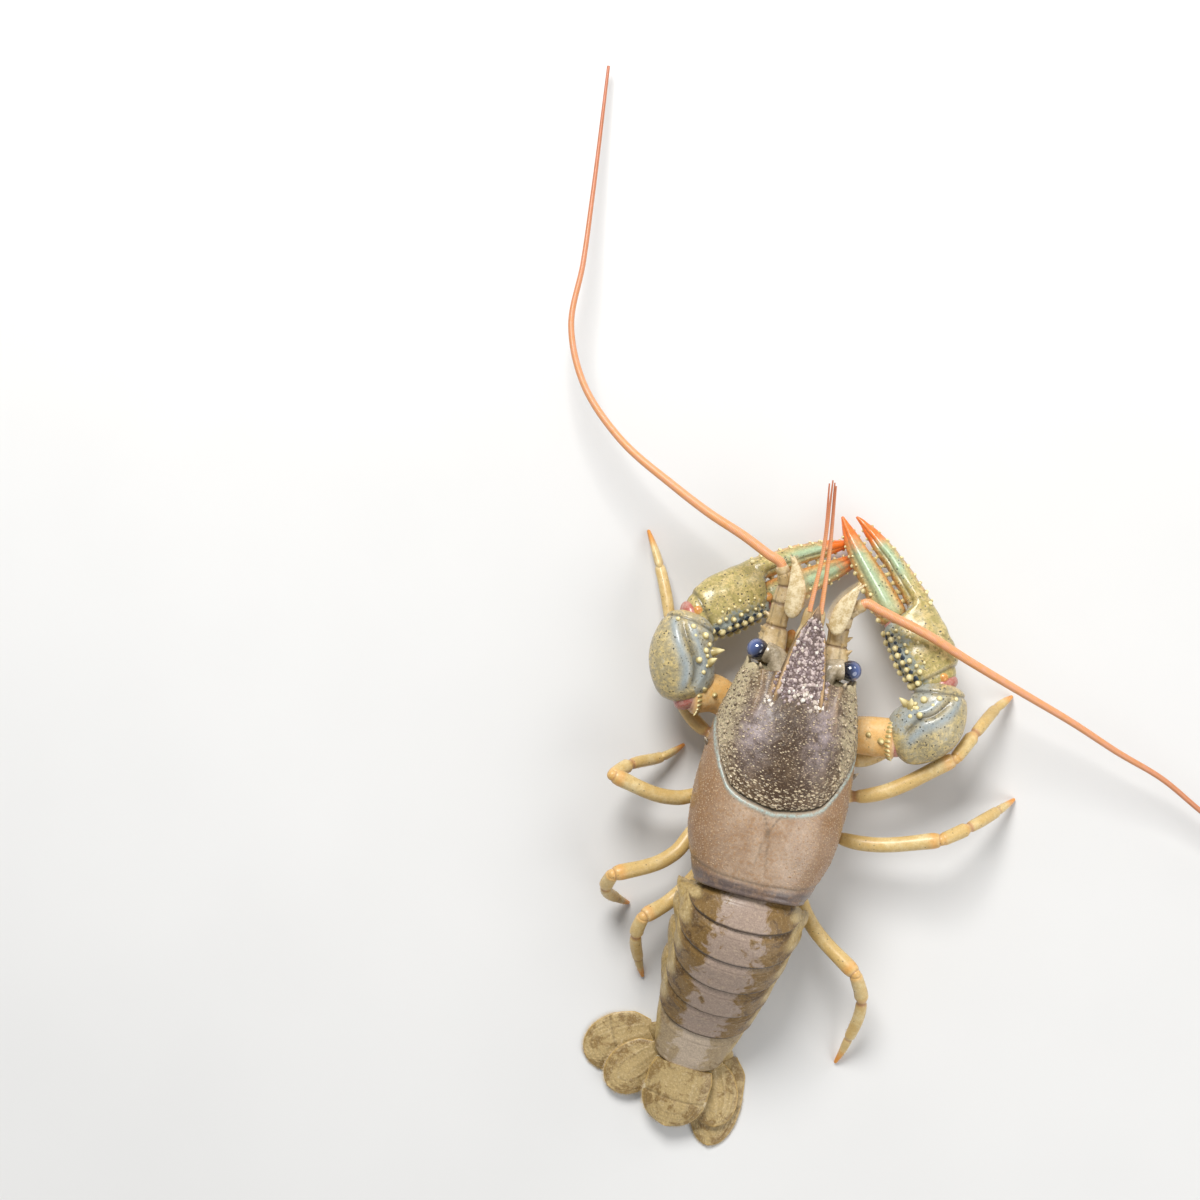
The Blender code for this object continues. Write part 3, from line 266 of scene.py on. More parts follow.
def closed_tube(rings: Array,
        marks: Optional[Marks] = None, ends: Sequence[Optional[Row]] = (None, None)) -> Patch:
    """Return a closed surface through rings of points, with a fan of triangles on each end.

    The faces are turned outwards by the sign of the volume that they enclose.

    Args:
        rings: Points as (rings, around, 3); the last point of a ring joins its first.
        marks: Values that can be widened to (rings, around).
        ends: The points in the middle of the two ends, or None for the mean of the end ring.

    Returns:
        The patch.
    """
    count, sides = rings.shape[:2]
    middles = [rings[k].mean(axis=0) if end is None else end for k, end in zip((0, -1), ends)]
    here, last = np.arange(sides), (count - 1) * sides
    ahead = (here + 1) % sides
    fans = grid(count * sides, ahead, here), grid(count * sides + 1, last + here, last + ahead)
    full = {}
    for mark, value in (marks or {}).items():
        value = np.broadcast_to(value, (count, sides))
        full[mark] = np.concatenate((value.ravel(), value[[0, -1]].mean(axis=1)))
    points = np.concatenate((rings.reshape(-1, 3), middles))
    quads, fans = lattice(count, sides), np.concatenate(fans)
    a, b, c = points[np.concatenate((quads[:, :3], quads[:, (0, 2, 3)], fans))].swapaxes(0, 1)
    turn = 1 if (a * np.cross(b, c)).sum() >= 0 else -1
    return Patch(points, quads[:, ::turn], fans[:, ::turn], full)


class StudForm(Enum):
    """Shapes of the small things that stand on the shell: radius and height along their axis."""

    DOME = ((1.12, -0.5), (1.04, 0), (0.92, 0.42), (0.62, 0.82), (0.25, 0.98))
    SPINE = ((1.1, -0.5), (1, 0), (0.72, 0.33), (0.42, 0.66), (0.16, 0.92))
    GRAIN = ((1, -0.6), (1.05, 0.1), (0.75, 0.75))
    HAIR = ((1, -0.1), (0.7, 0.5))


def studs(points: Array, ways: Array, radii: Array, heights: Array, form: StudForm = StudForm.DOME,
        sides: int = 8, lean: Array = 0, uneven: float = 0, broad: Optional[Array] = None) -> Patch:
    """Return many small domes, spines, grains or hairs as one patch, all at once.

    A point of each is its root plus radius times a circle plus height times its outward
    direction plus the square of its share of the height times lean.

    Args:
        points: Roots on the surface, (n, 3).
        ways: Outward directions, (n, 3).
        radii: Radius of each at its root.
        heights: Height of each.
        form: Which profile to use.
        sides: Corners of each circle.
        lean: Direction and reach of the drift, in millimetres.
        uneven: Share by which the circles are roughened, seeded.
        broad: Direction in which each circle is drawn out, by its length on top of one.

    Returns:
        The patch, with CROWN rising from root to top and a TONE drawn for each.
    """
    points, ways = np.atleast_2d(points).astype(float), unit(np.atleast_2d(ways))
    count, turn, lean = len(points), turns(sides)[:, None], np.broadcast_to(lean, (len(points), 3))
    radii, heights = (np.broadcast_to(v, count)[:, None, None, None] for v in (radii, heights))
    side, up = across(ways)
    size, level = (v[:, None, None] for v in np.array(form.value).T)
    rng = np.random.default_rng(SEED + count)
    rough = 1 + uneven * rng.uniform(-1, 1, (count, len(size), sides))[..., None]
    ring = np.cos(turn) * side[:, None] + np.sin(turn) * up[:, None]
    if broad is not None:
        ring = ring + (ring * unit(broad)[:, None]).sum(axis=-1, keepdims=True) * broad[:, None]
    body = (points[:, None, None]
        + radii * size * rough * ring[:, None] + heights * level * ways[:, None, None]
        + np.clip(level, 0, 1) ** 2 * lean[:, None, None]).reshape(count, -1, 3)
    tops = points + heights[:, 0, 0] * ways + lean
    here, last, per = np.arange(sides), (len(size) - 1) * sides, len(size) * sides + 1
    ahead = (here + 1) % sides
    tris = np.concatenate(
        (grid(last + here, last + ahead, per - 1), grid(ahead[1:-1], here[1:-1], 0)))
    start = (np.arange(count) * per)[:, None, None]
    crown = np.append(np.repeat(np.clip(level, 0, 1), sides), 1)
    return Patch(np.concatenate((body, tops[:, None]), axis=1).reshape(-1, 3),
        (start + lattice(len(size), sides)).reshape(-1, 4), (start + tris).reshape(-1, 3),
        {Mark.CROWN: np.tile(crown, count), Mark.TONE: np.repeat(rng.uniform(0, 1, count), per)})


class Tube:
    """A round limb along a smooth path whose section is an ellipse of changing size."""

    def __init__(self, points: Rows, widths: Row, heights: Optional[Row] = None,
            up: Row = (0, 0, 1), knots: Optional[Row] = None) -> None:
        """Keep the path and the section at its knots.

        Args:
            points: Places on the path.
            widths: Half widths.
            heights: Half heights, where they differ from the half widths.
            up: Direction that the height keeps to.
            knots: Places of the widths, 0 to 1; evenly spaced if not given.
        """
        self.points, self.widths, self.up = np.asarray(points, float), widths, up
        self.heights = widths if heights is None else heights
        self.knots = np.linspace(0, 1, len(widths)) if knots is None else knots

    def frame(self, s: Array) -> tuple[Array, Array, Array, Array]:
        """Return where the path is and its own directions.

        Args:
            s: Places, 0 to 1.

        Returns:
            The centres and the tangent, side and up directions.
        """
        s = np.atleast_1d(np.asarray(s, float))
        tangent = unit(path_curve(self.points, s + 0.002) - path_curve(self.points, s - 0.002))
        side = unit(np.cross(tangent, self.up))
        return path_curve(self.points, s), tangent, side, np.cross(side, tangent)

    def size(self, s: Array) -> tuple[Array, Array]:
        """Return columns of the half widths and half heights at places s."""
        return tuple(curve(self.knots, v, np.atleast_1d(s))[:, None]
            for v in (self.widths, self.heights))

    def rings(self, s: Array, sides: int, factor: Array = 1) -> Array:
        """Return one ring of points for each place in s.

        A point is the centre plus half width times cos(angle) along the side direction plus half
        height times sin(angle) along the up direction, both times the factor.

        Args:
            s: Places, 0 to 1.
            sides: Points in a ring.
            factor: Number or (places, sides) array on the section's size.

        Returns:
            Points as (places, sides, 3).
        """
        centre, _, side, up = self.frame(s)
        width, height = self.size(s)
        x, z = width * np.cos(turns(sides)) * factor, height * np.sin(turns(sides)) * factor
        return centre[:, None] + x[..., None] * side[:, None] + z[..., None] * up[:, None]

    def spots(self, s: Array, degrees: Array) -> tuple[Array, Array]:
        """Return points on the tube and their outward directions.

        Args:
            s: Places, 0 to 1.
            degrees: Angles round the tube.

        Returns:
            The points and the directions.
        """
        s, degrees = np.broadcast_arrays(np.atleast_1d(s).astype(float), degrees)
        centre, _, side, up = self.frame(s)
        width, height = self.size(s)
        cosine, sine = np.cos(np.radians(degrees))[:, None], np.sin(np.radians(degrees))[:, None]
        return (centre + width * cosine * side + height * sine * up,
            unit(cosine / width * side + sine / height * up))

    def thorns(self,
            rows: Rows, forward: float, turn: Callable = float, sides: int = 12) -> list[Patch]:
        """Return separate spines, or domes where they are low, that point along the tube.

        Args:
            rows: Place, degrees, radius and height of each.
            forward: Share of the tube's direction that is added to the outward one.
            turn: Changes the degrees, for a limb of the left side.
            sides: Corners of each circle.

        Returns:
            One patch for each.
        """
        made = []
        for place, degrees, radius, height in rows:
            point, out = self.spots(place, turn(degrees))
            form = StudForm.SPINE if height > 1.5 * radius else StudForm.DOME
            made.append(
                studs(point, out + forward * self.frame(place)[1], radius, height, form, sides))
        return made


def limb(tube: Tube, rows: int, sides: int, caps: tuple[float, float] = (0.06, 0.06),
        shape: Shape = lambda s, a: 1, marks: Marker = lambda s, a: {}) -> Patch:
    """Return a tube with rounded ends as a closed patch.

    Places crowd towards both ends. Over the first and last share of the length the section is
    times sqrt(1 - (1 - t)^2), a quarter ellipse.

    Args:
        tube: The limb's line and section.
        rows: Rings along it.
        sides: Points in a ring.
        caps: Shares of the length that are rounded off at the start and at the end.
        shape: Further factor on the section for places and angles.
        marks: Gives the marks for places and angles.

    Returns:
        The patch.
    """
    t = np.linspace(-1, 1, rows)
    s = 0.5 + 0.4997 * np.sign(t) * (1 - (1 - np.abs(t)) ** 1.6)
    near, far = np.clip(s / caps[0], 0, 1), np.clip((1 - s) / caps[1], 0, 1)
    factor = (np.sqrt(1 - (1 - near) ** 2) * np.sqrt(1 - (1 - far) ** 2))[:, None]
    at = s[:, None], turns(sides)[None]
    return closed_tube(tube.rings(s, sides, factor * shape(*at)), marks(*at))


def ball(centre: Row, way: Row, radii: Row, rows: int = 24, sides: int = 32) -> Patch:
    """Return a closed ellipsoid whose last radius lies along way.

    A point is the centre plus the radii times (sin p cos q, sin p sin q, cos p) in the frame of
    way, with p from pole to pole and q around.

    Args:
        centre: Its middle.
        way: Direction of its axis.
        radii: Side, up and axial radius.
        rows: Circles from pole to pole.
        sides: Points in a circle.

    Returns:
        The patch.
    """
    side, up = across(np.asarray(way, float))
    p, q = np.linspace(0.02, math.pi - 0.02, rows)[:, None], turns(sides)
    parts = (radii[0] * np.sin(p) * np.cos(q),
        radii[1] * np.sin(p) * np.sin(q), radii[2] * np.cos(p))
    return closed_tube(np.asarray(centre, float)
        + sum(part[..., None] * axis for part, axis in zip(parts, (side, up, unit(way)))))


def outward(rings: Array) -> Array:
    """Find which way is out at each point of closed rings, from the two sets of lines.

    Args:
        rings: Points as (rings, around, 3).

    Returns:
        A direction for each point.
    """
    beside = np.roll(rings, -1, axis=1) - np.roll(rings, 1, axis=1)
    way = unit(np.cross(np.gradient(rings, axis=0), beside))
    return way * np.sign((way * (rings - rings.mean(axis=1, keepdims=True))).sum())


def swollen(rings: Array, relief: Array) -> Array:
    """Return the rings with each point moved out by relief millimetres."""
    return rings + np.asarray(relief)[..., None] * outward(rings)


def scatter(rings: Array,
        weights: Array, count: int, spacing: float, seed: int) -> tuple[Array, Array, Array]:
    """Pick places spread over a surface, at most one in each cube of the spacing.

    Args:
        rings: Points of the surface as (rings, around, 3).
        weights: How likely each point is chosen, 0 for never.
        count: Number of draws.
        spacing: Edge of the cubes in millimetres.
        seed: Seed of the draws.

    Returns:
        The chosen points, and the ways out of the surface and along the ring there.
    """
    flat = np.clip(weights, 0, None).ravel()
    drawn = np.random.default_rng(seed).choice(
        len(flat), size=min(count, int((flat > 0).sum())), replace=False, p=flat / flat.sum())
    cubes = np.floor(rings.reshape(-1, 3)[drawn] / spacing).astype(int)
    drawn = drawn[np.unique(cubes, axis=0, return_index=True)[1]]
    around = np.roll(rings, -1, axis=1) - rings
    return tuple(v.reshape(-1, 3)[drawn] for v in (rings, outward(rings), around))


def surface_spots(surface: Callable, u: Array, v: Array, step: float) -> tuple[Array, Array]:
    """Return points surface(u, v) and the unit cross product of short steps in v and in u."""
    point = surface(u, v)
    return point, unit(np.cross(surface(u, v + step) - point, surface(u + step, v) - point))


def hairs(roots: Array,
        ways: Array, lengths: Array, share: tuple[Array, Array], radius: float = 0.04) -> Patch:
    """Return fine hairs that droop a little, each with its own small patch for baking.

    Args:
        roots: Where they grow.
        ways: Where they point.
        lengths: Length of each.
        share: Places of the roots on an unwrap of what they grow from, across and up, 0 to 1.
        radius: Radius at the root.

    Returns:
        The patch, with bake coordinates as marks.
    """
    droop = np.asarray(lengths)[:, None] * (0, 0, -0.12)
    made = studs(roots, ways, radius, lengths, StudForm.HAIR, 3, droop)
    count, per = len(roots), len(made.points) // len(roots)
    corner = np.tile(np.arange(per) % 3 * 0.0015, count)
    u, v = (np.repeat(np.broadcast_to(part, count), per) for part in share)
    made.marks |= {Mark.BAKE_U: u + corner, Mark.BAKE_V: v + 0.003 * made.marks[Mark.CROWN]}
    return made


def stretched(points: Rows, start: float, end: float) -> Array:
    """Return the points with the first and last moved straight outwards by start and end.

    Args:
        points: Places on a line.
        start: Millimetres at its start.
        end: Millimetres at its end.

    Returns:
        The longer line.
    """
    points = np.array(points, float)
    points[0] -= start * unit(points[1] - points[0])
    points[-1] += end * unit(points[-1] - points[-2])
    return points


def jointed(points: Array, bend: float) -> Array:
    """Return a line whose inner corners are cut.

    Args:
        points: Places on the line.
        bend: Distance of each cut from its corner, on both sides.

    Returns:
        The line with two places for each inner one.
    """
    ways = bend * unit(np.diff(points, axis=0))
    corners = np.stack((points[1:-1] - ways[:-1], points[1:-1] + ways[1:]), axis=1)
    return np.concatenate((points[:1], corners.reshape(-1, 3), points[-1:]))


class BodyFrame:
    """Turns places in the animal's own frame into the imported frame."""

    def __init__(self, sternum_rear: float = 5) -> None:
        """Find the shift from the plate between the legs, which is even on both sides."""
        low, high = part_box("sternum")
        self.shift = np.array(((low.x + high.x) / 2 / MM, low.y / MM - sternum_rear, 0))

    def world(self, points: Array) -> Array:
        """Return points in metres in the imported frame."""
        return (np.asarray(points, float) + self.shift) * MM


@dataclass
class Piece:
    """A named object of the scene, made of patches in one finish."""

    name: str
    patches: list[Patch]
    paint: "Paint"
    slot: str
    nodes: tuple[str, ...] = ()

    def joined(self, mark: Mark) -> Array:
        """Return the values of a mark at all points, 0 where a patch has none."""
        return np.concatenate([np.broadcast_to(patch.marks.get(mark, 0), len(patch.points))
            for patch in self.patches])

    def make(self, body: BodyFrame) -> bpy.types.Object:
        """Make the object, let it ride on the body and stand for its nodes.

        Args:
            body: The frame that places the points.

        Returns:
            The new object, at the origin.
        """
        points = np.concatenate([patch.points for patch in self.patches])
        starts = np.cumsum([0] + [len(patch.points) for patch in self.patches[:-1]])
        quads = np.concatenate([patch.quads + k for patch, k in zip(self.patches, starts)])
        tris = np.concatenate([patch.triangles + k for patch, k in zip(self.patches, starts)])
        mesh = bpy.data.meshes.new(self.name)
        mesh.vertices.add(len(points))
        mesh.vertices.foreach_set("co", body.world(points).astype(np.float32).ravel())
        corners = np.concatenate((quads.ravel(), tris.ravel())).astype(np.int32)
        sizes = np.repeat((4, 3), (len(quads), len(tris)))
        mesh.loops.add(len(corners))
        mesh.loops.foreach_set("vertex_index", corners)
        mesh.polygons.add(len(sizes))
        mesh.polygons.foreach_set("loop_start", (np.cumsum(sizes) - sizes).astype(np.int32))
        mesh.update(calc_edges=True)
        for mark in {name for patch in self.patches for name in patch.marks}:
            layer = mesh.attributes.new(mark.value, "FLOAT", "POINT")
            layer.data.foreach_set("value", self.joined(mark).astype(np.float32))
        if Mark.BAKE_U in self.patches[0].marks:
            flat = grid(self.joined(Mark.BAKE_U), self.joined(Mark.BAKE_V))[corners]
            mesh.uv_layers.new(name="OFBake").data.foreach_set("uv", flat.ravel())
        mesh.shade_smooth()
        mesh.set_sharp_from_angle(angle=math.radians(self.paint.value.sharp))
        mesh.materials.append(self.paint.value.material())
        made = bpy.data.objects.new(self.name, mesh)
        bpy.context.scene.collection.objects.link(made)
        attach(made, "root")
        if self.nodes:
            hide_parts(*self.nodes)
        LOG.info("%s: %d points, %d triangles", self.name, len(points), 2 * len(quads) + len(tris))
        return made


# Shaders


class Socket:
    """One output of a shader node; sums and products of sockets add Math nodes."""

    def __init__(self, graph: "Graph", socket: Optional[bpy.types.NodeSocket]) -> None:
        """Keep the socket and the graph it is in."""
        self.graph = graph
        self.socket = socket

    def math(self, operation: str, first: object, second: object) -> "Socket":
        """Return the result of a Math node on two values."""
        return self.graph.node("ShaderNodeMath", {"operation": operation}, {0: first, 1: second})

    def __add__(self, other: object) -> "Socket":
        """Return self + other."""
        return self.math("ADD", self, other)

    def __mul__(self, other: object) -> "Socket":
        """Return self * other."""
        return self.math("MULTIPLY", self, other)

    __radd__, __rmul__ = __add__, __mul__

    def __sub__(self, other: object) -> "Socket":
        """Return self - other."""
        return self.math("SUBTRACT", self, other)

    def __rsub__(self, other: object) -> "Socket":
        """Return other - self."""
        return self.math("SUBTRACT", other, self)

    def most(self, other: object) -> "Socket":
        """Return the larger of the two values."""
        return self.math("MAXIMUM", self, other)

    def step(self, low: float, high: float) -> "Socket":
        """Return a smooth step from 0 at low to 1 at high.

        Args:
            low: Value where it is 0.
            high: Value where it is 1; it may be below low.

        Returns:
            The step.
        """
        falls = float(low > high)
        return self.graph.node("ShaderNodeMapRange", {"interpolation_type": "SMOOTHSTEP"}, {
            "Value": self, "From Min": min(low, high), "From Max": max(low, high),
            "To Min": falls, "To Max": 1 - falls})


class Graph:
    """The node tree of one material."""

    def __init__(self, name: str) -> None:
        """Start an empty material with the place on the object in millimetres.

        Args:
            name: The material's name.
        """
        self.material = bpy.data.materials.new(name)
        self.material.use_nodes = True
        self.tree = self.material.node_tree
        self.tree.nodes.clear()
        self.place = self.node("ShaderNodeVectorMath", {"operation": "SCALE"},
            {0: self.node("ShaderNodeTexCoord", output="Object"), "Scale": 1 / MM})

    def node(self, kind: str, settings: Optional[dict] = None,
            sockets: Optional[dict] = None, output: object = 0) -> Socket:
        """Add a node.

        Args:
            kind: The node's type name.
            settings: Its properties, set first.
            sockets: Values or links for its input sockets, by name or number.
            output: Which output to return.

        Returns:
            The chosen output, empty for a node that has none.
        """
        made = self.tree.nodes.new(kind)
        for key, value in (settings or {}).items():
            setattr(made, key, value)
        for key, value in (sockets or {}).items():
            if isinstance(value, Socket):
                self.tree.links.new(value.socket, made.inputs[key])
            else:
                made.inputs[key].default_value = value
        return Socket(self, made.outputs[output] if made.outputs else None)

    def marks(self, *marks: Mark) -> list[Socket]:
        """Return marks that the piece carries at its points."""
        return [self.node("ShaderNodeAttribute", {"attribute_name": mark.value}, output="Fac")
            for mark in marks]

    def noise(self,
            size: float, detail: float = 3, roughness: float = 0.5, warp: float = 0) -> Socket:
        """Return cloudy noise, 0 to 1.

        Args:
            size: Width of its patches in millimetres, about.
            detail: Number of finer layers.
            roughness: Strength of each finer layer.
            warp: How far the patches are drawn out of shape.

        Returns:
            The noise.
        """
        return self.node("ShaderNodeTexNoise", {"noise_dimensions": "3D"}, {
            "Vector": self.place, "Scale": 1 / size, "Detail": detail, "Roughness": roughness,
            "Distortion": warp}, "Fac")

    def noises(self, *rows: Row) -> list[Socket]:
        """Return a noise for each row of size, detail, roughness and warp."""
        return [self.noise(*row) for row in rows]

    def cells(self, size: float, output: str) -> Socket:
        """Return distance, or a random colour, in cells about size millimetres wide."""
        return self.node("ShaderNodeTexVoronoi",
            {"feature": "F1"}, {"Vector": self.place, "Scale": 1 / size}, output)

    def dots(self, size: float, radius: float, share: float) -> Socket:
        """Return soft dots, 1 inside, one in each chosen cell.

        Args:
            size: Width of a cell in millimetres.
            radius: Radius of a dot as a share of the cell.
            share: Share of the cells that get a dot.

        Returns:
            The mask, 0 to 1.
        """
        chosen = self.node("ShaderNodeSeparateColor", sockets={0: self.cells(size, "Color")})
        dot = self.cells(size, "Distance").step(radius, 0.55 * radius)
        return dot * chosen.step(1 - share, 1.02 - share)

    def blend(self, first: object, second: object, factor: object) -> Socket:
        """Return the colour that goes from first to second.

        Args:
            first: Colour at factor 0.
            second: Colour at factor 1.
            factor: Number or socket.

        Returns:
            The mixed colour.
        """
        ends = [end if isinstance(end, Socket) else (*end, 1) for end in (first, second)]
        return self.node("ShaderNodeMix",
            {"data_type": "RGBA", "clamp_factor": True}, {6: ends[0], 7: ends[1], 0: factor}, 2)

    def layers(self, colour: object, *coats: tuple[object, object]) -> Socket:
        """Return a colour with others laid over it.

        Args:
            colour: The lowest one.
            coats: Colour and factor of each that is laid over it, in order.

        Returns:
            The mixed colour.
        """
        for over, factor in coats:
            colour = self.blend(colour, over, factor)
        return colour

    def tint(self, colour: Socket, factor: Socket) -> Socket:
        """Make a colour lighter or darker.

        Args:
            colour: The colour.
            factor: Value near 1.

        Returns:
            The colour times the factor.
        """
        grey = self.node("ShaderNodeCombineColor", sockets={0: factor, 1: factor, 2: factor})
        return self.node("ShaderNodeMix",
            {"data_type": "RGBA", "blend_type": "MULTIPLY"}, {0: 1, 6: colour, 7: grey}, 2)

    def close(self, colour: object, roughness: object,
            height: Optional[Socket] = None, depth: float = 0.05, coat: object = 0,
            coat_roughness: float = 0.2, specular: float = 0.5) -> bpy.types.Material:
        """Finish the material with one Principled shader.

        Args:
            colour: Base colour.
            roughness: Roughness, a number or a socket.
            height: Relief, 0 to 1, for a Bump node.
            depth: Depth of the relief in millimetres.
            coat: Weight of the wet film over the surface.
            coat_roughness: Roughness of that film.
            specular: Strength of the plain gloss.

        Returns:
            The finished material.
        """
        sockets = {"Base Color": colour, "Roughness": roughness,
            "Coat Weight": coat, "Coat Roughness": coat_roughness, "Specular IOR Level": specular}
        if height is not None:
            sockets["Normal"] = self.node("ShaderNodeBump",
                sockets={"Strength": 1, "Distance": depth * MM, "Height": height})
        shader = self.node("ShaderNodeBsdfPrincipled", sockets=sockets)
        self.node("ShaderNodeOutputMaterial", sockets={"Surface": shader})
        return self.material


@dataclass(frozen=True)
class Finish:
    """A surface finish; one material is made the first time it is asked for."""

    name: str
    sharp: float = 60

    def material(self) -> bpy.types.Material:
        """Return the finish's material."""
        return bpy.data.materials.get(self.name) or self.paint(Graph(self.name))

    def paint(self, graph: Graph) -> bpy.types.Material:
        """Build the material in an empty graph and return it."""
        raise NotImplementedError


@dataclass(frozen=True)
class CarapaceFinish(Finish):
    """Wet brown shell: orange-brown flanks, dark mottled head, pale blue-green neck groove, painted
    shade in its grooves.
    """

    back: Colour = (0.37, 0.24, 0.15)
    back_pale: Colour = (0.5, 0.36, 0.25)
    flank: Colour = (0.27, 0.13, 0.04)
    head_dark: Colour = (0.058, 0.03, 0.012)
    head_brown: Colour = (0.185, 0.118, 0.056)
    head_grey: Colour = (0.33, 0.265, 0.26)
    cheek: Colour = (0.56, 0.47, 0.29)
    speck: Colour = (0.62, 0.47, 0.3)
    groove: Colour = (0.35, 0.44, 0.4)
    under: Colour = (0.52, 0.39, 0.22)
    # Near black: painted shade for the grooves and the inside of the turned-in edges.
    gutter: Colour = (0.04, 0.04, 0.026)
    rear_edge: Colour = (0.125, 0.09, 0.08)
    beak: Colour = (0.15, 0.105, 0.095)
    ridge: Colour = (0.52, 0.33, 0.16)

    def paint(self, graph: Graph) -> bpy.types.Material:
        """Build the material: zones come from the marks, broken up by noise.

        Args:
            graph: The nodes of the empty material.

        Returns:
            The material.
        """
        side, front, patch, tip = graph.marks(Mark.SIDE, Mark.FRONT, Mark.PATCH, Mark.TIP)
        blotch, crown, rim, groove, gutter = graph.marks(
            Mark.BLOTCH, Mark.CROWN, Mark.RIM, Mark.GROOVE, Mark.GUTTER)
        broad, mid, grit, fine = graph.noises(
            (6, 4, 0.55, 0.5), (1.5, 5, 0.65, 0.3), (0.6, 3, 0.7), (0.3, 3, 0.6))
        rear = graph.layers(self.back, (self.back_pale, (broad + mid * 0.6).step(0.6, 1.05)),
            (self.flank, (side + (broad - 0.5) * 0.7).step(0.28, 0.72)),
            (self.flank, grit.step(0.48, 0.64) * 0.6),
            (self.speck, fine.step(0.55, 0.7) * (side * 0.35 + 0.25)))
        head = graph.layers(self.head_dark,
            (self.head_brown, (mid * 0.9 + side * 0.45 + (broad - 0.5) * 0.7).step(0.38, 0.9)),
            (self.head_grey, patch * ((mid + broad * 0.5).step(0.5, 0.9) + 0.2)),
            (self.head_dark, blotch * (grit + mid * 0.6).step(1.05, 0.7)),
            (self.cheek, (side + (mid - 0.5) * 0.7).step(0.4, 0.7) * 0.85),
            (self.speck, fine.step(0.56, 0.68) * (grit.step(0.4, 0.7) * 0.5 + 0.08)))
        colour = graph.layers(rear, (head, (front + (mid - 0.5) * 0.2).step(0.35, 0.65)),
            (self.beak, tip * (mid.step(0.25, 0.7) * 0.4 + 0.6)),
            (self.ridge, crown * (mid.step(0.2, 0.6) * 0.5 + 0.5)),
            (self.rear_edge, rim * (mid.step(0.25, 0.6) * 0.6 + 0.35)),
            (self.groove, groove * (grit.step(0.3, 0.6) * 0.7 + 0.25)),
            # The near-black layer is painted shade in the grooves and inside the turned-in edges.
            (self.gutter, gutter * 0.85), (self.under, side.step(1.22, 1.5)))
        colour = graph.tint(colour, fine * 0.7 + grit * 0.5 + 0.4)
        height = fine * 0.5 + grit * (front * 0.9 + 0.3) + mid * 0.7
        return graph.close(colour, mid * 0.25 + 0.27 + tip * 0.2,
            height, 0.08, front * -0.3 + 0.42 + patch * 0.3, specular=0.4)


@dataclass(frozen=True)
class TailFinish(Finish):
    """Abdomen and tail fan: mauve-taupe in the middle, dark brown beside it, tan side flaps,
    painted shade in the laps between rings.
    """

    middle: Colour = (0.36, 0.265, 0.205)
    blotch: Colour = (0.09, 0.044, 0.011)
    brown: Colour = (0.21, 0.12, 0.034)
    flap: Colour = (0.43, 0.3, 0.11)
    pale: Colour = (0.56, 0.45, 0.27)
    # seam: painted shade in the laps between the abdomen's rings, and the fan's own dark lines.
    seam: Colour = (0.045, 0.028, 0.016)
    edge: Colour = (0.56, 0.43, 0.23)
    spread: float = 1

    def paint(self, graph: Graph) -> bpy.types.Material:
        """Build the material: brown grows from the middle outwards, broken up by noise.

        Args:
            graph: The nodes of the empty material.

        Returns:
            The material.
        """
        side, flap, rim, gutter = graph.marks(Mark.SIDE, Mark.PATCH, Mark.RIM, Mark.GUTTER)
        broad, mid, grit, fine = graph.noises(
            (2.6, 4, 0.6, 1), (1, 5, 0.65, 0.4), (0.5, 3, 0.7), (0.28, 3, 0.6))
        spread = (side * 1.7 + (broad - 0.5) * 1.1).step(0.22, 0.38)
        stain = (side * 1.2 + (broad - 0.5) * 2 + (mid - 0.5)).step(0.45, 0.75)
        colour = graph.layers(self.middle,
            (self.brown, spread * self.spread), (self.blotch, stain * 0.9),
            (self.flap, flap * ((mid + broad * 0.5).step(0.45, 0.8) * 0.6 + 0.4)),
            (self.pale, (mid * 0.7 + grit * 0.5).step(0.62, 0.8) * (flap * 0.3 + 0.2)),
            (self.pale, fine.step(0.6, 0.7) * 0.25),
            (self.edge, rim * (mid.step(0.25, 0.65) * 0.5 + 0.2)),
            # Last layer: painted shade in the laps between rings; on the fan, dark lines along the
            # rim and at the cross seam.
            (self.pale, side.step(1.15, 1.4) * 0.9), (self.seam, gutter * 0.85))
        return graph.close(graph.tint(colour, fine * 0.7 + grit * 0.5 + 0.4),
            mid * 0.25 + 0.3, fine * 0.5 + mid * 0.8 + grit * 0.6, 0.11, 0.3, specular=0.35)


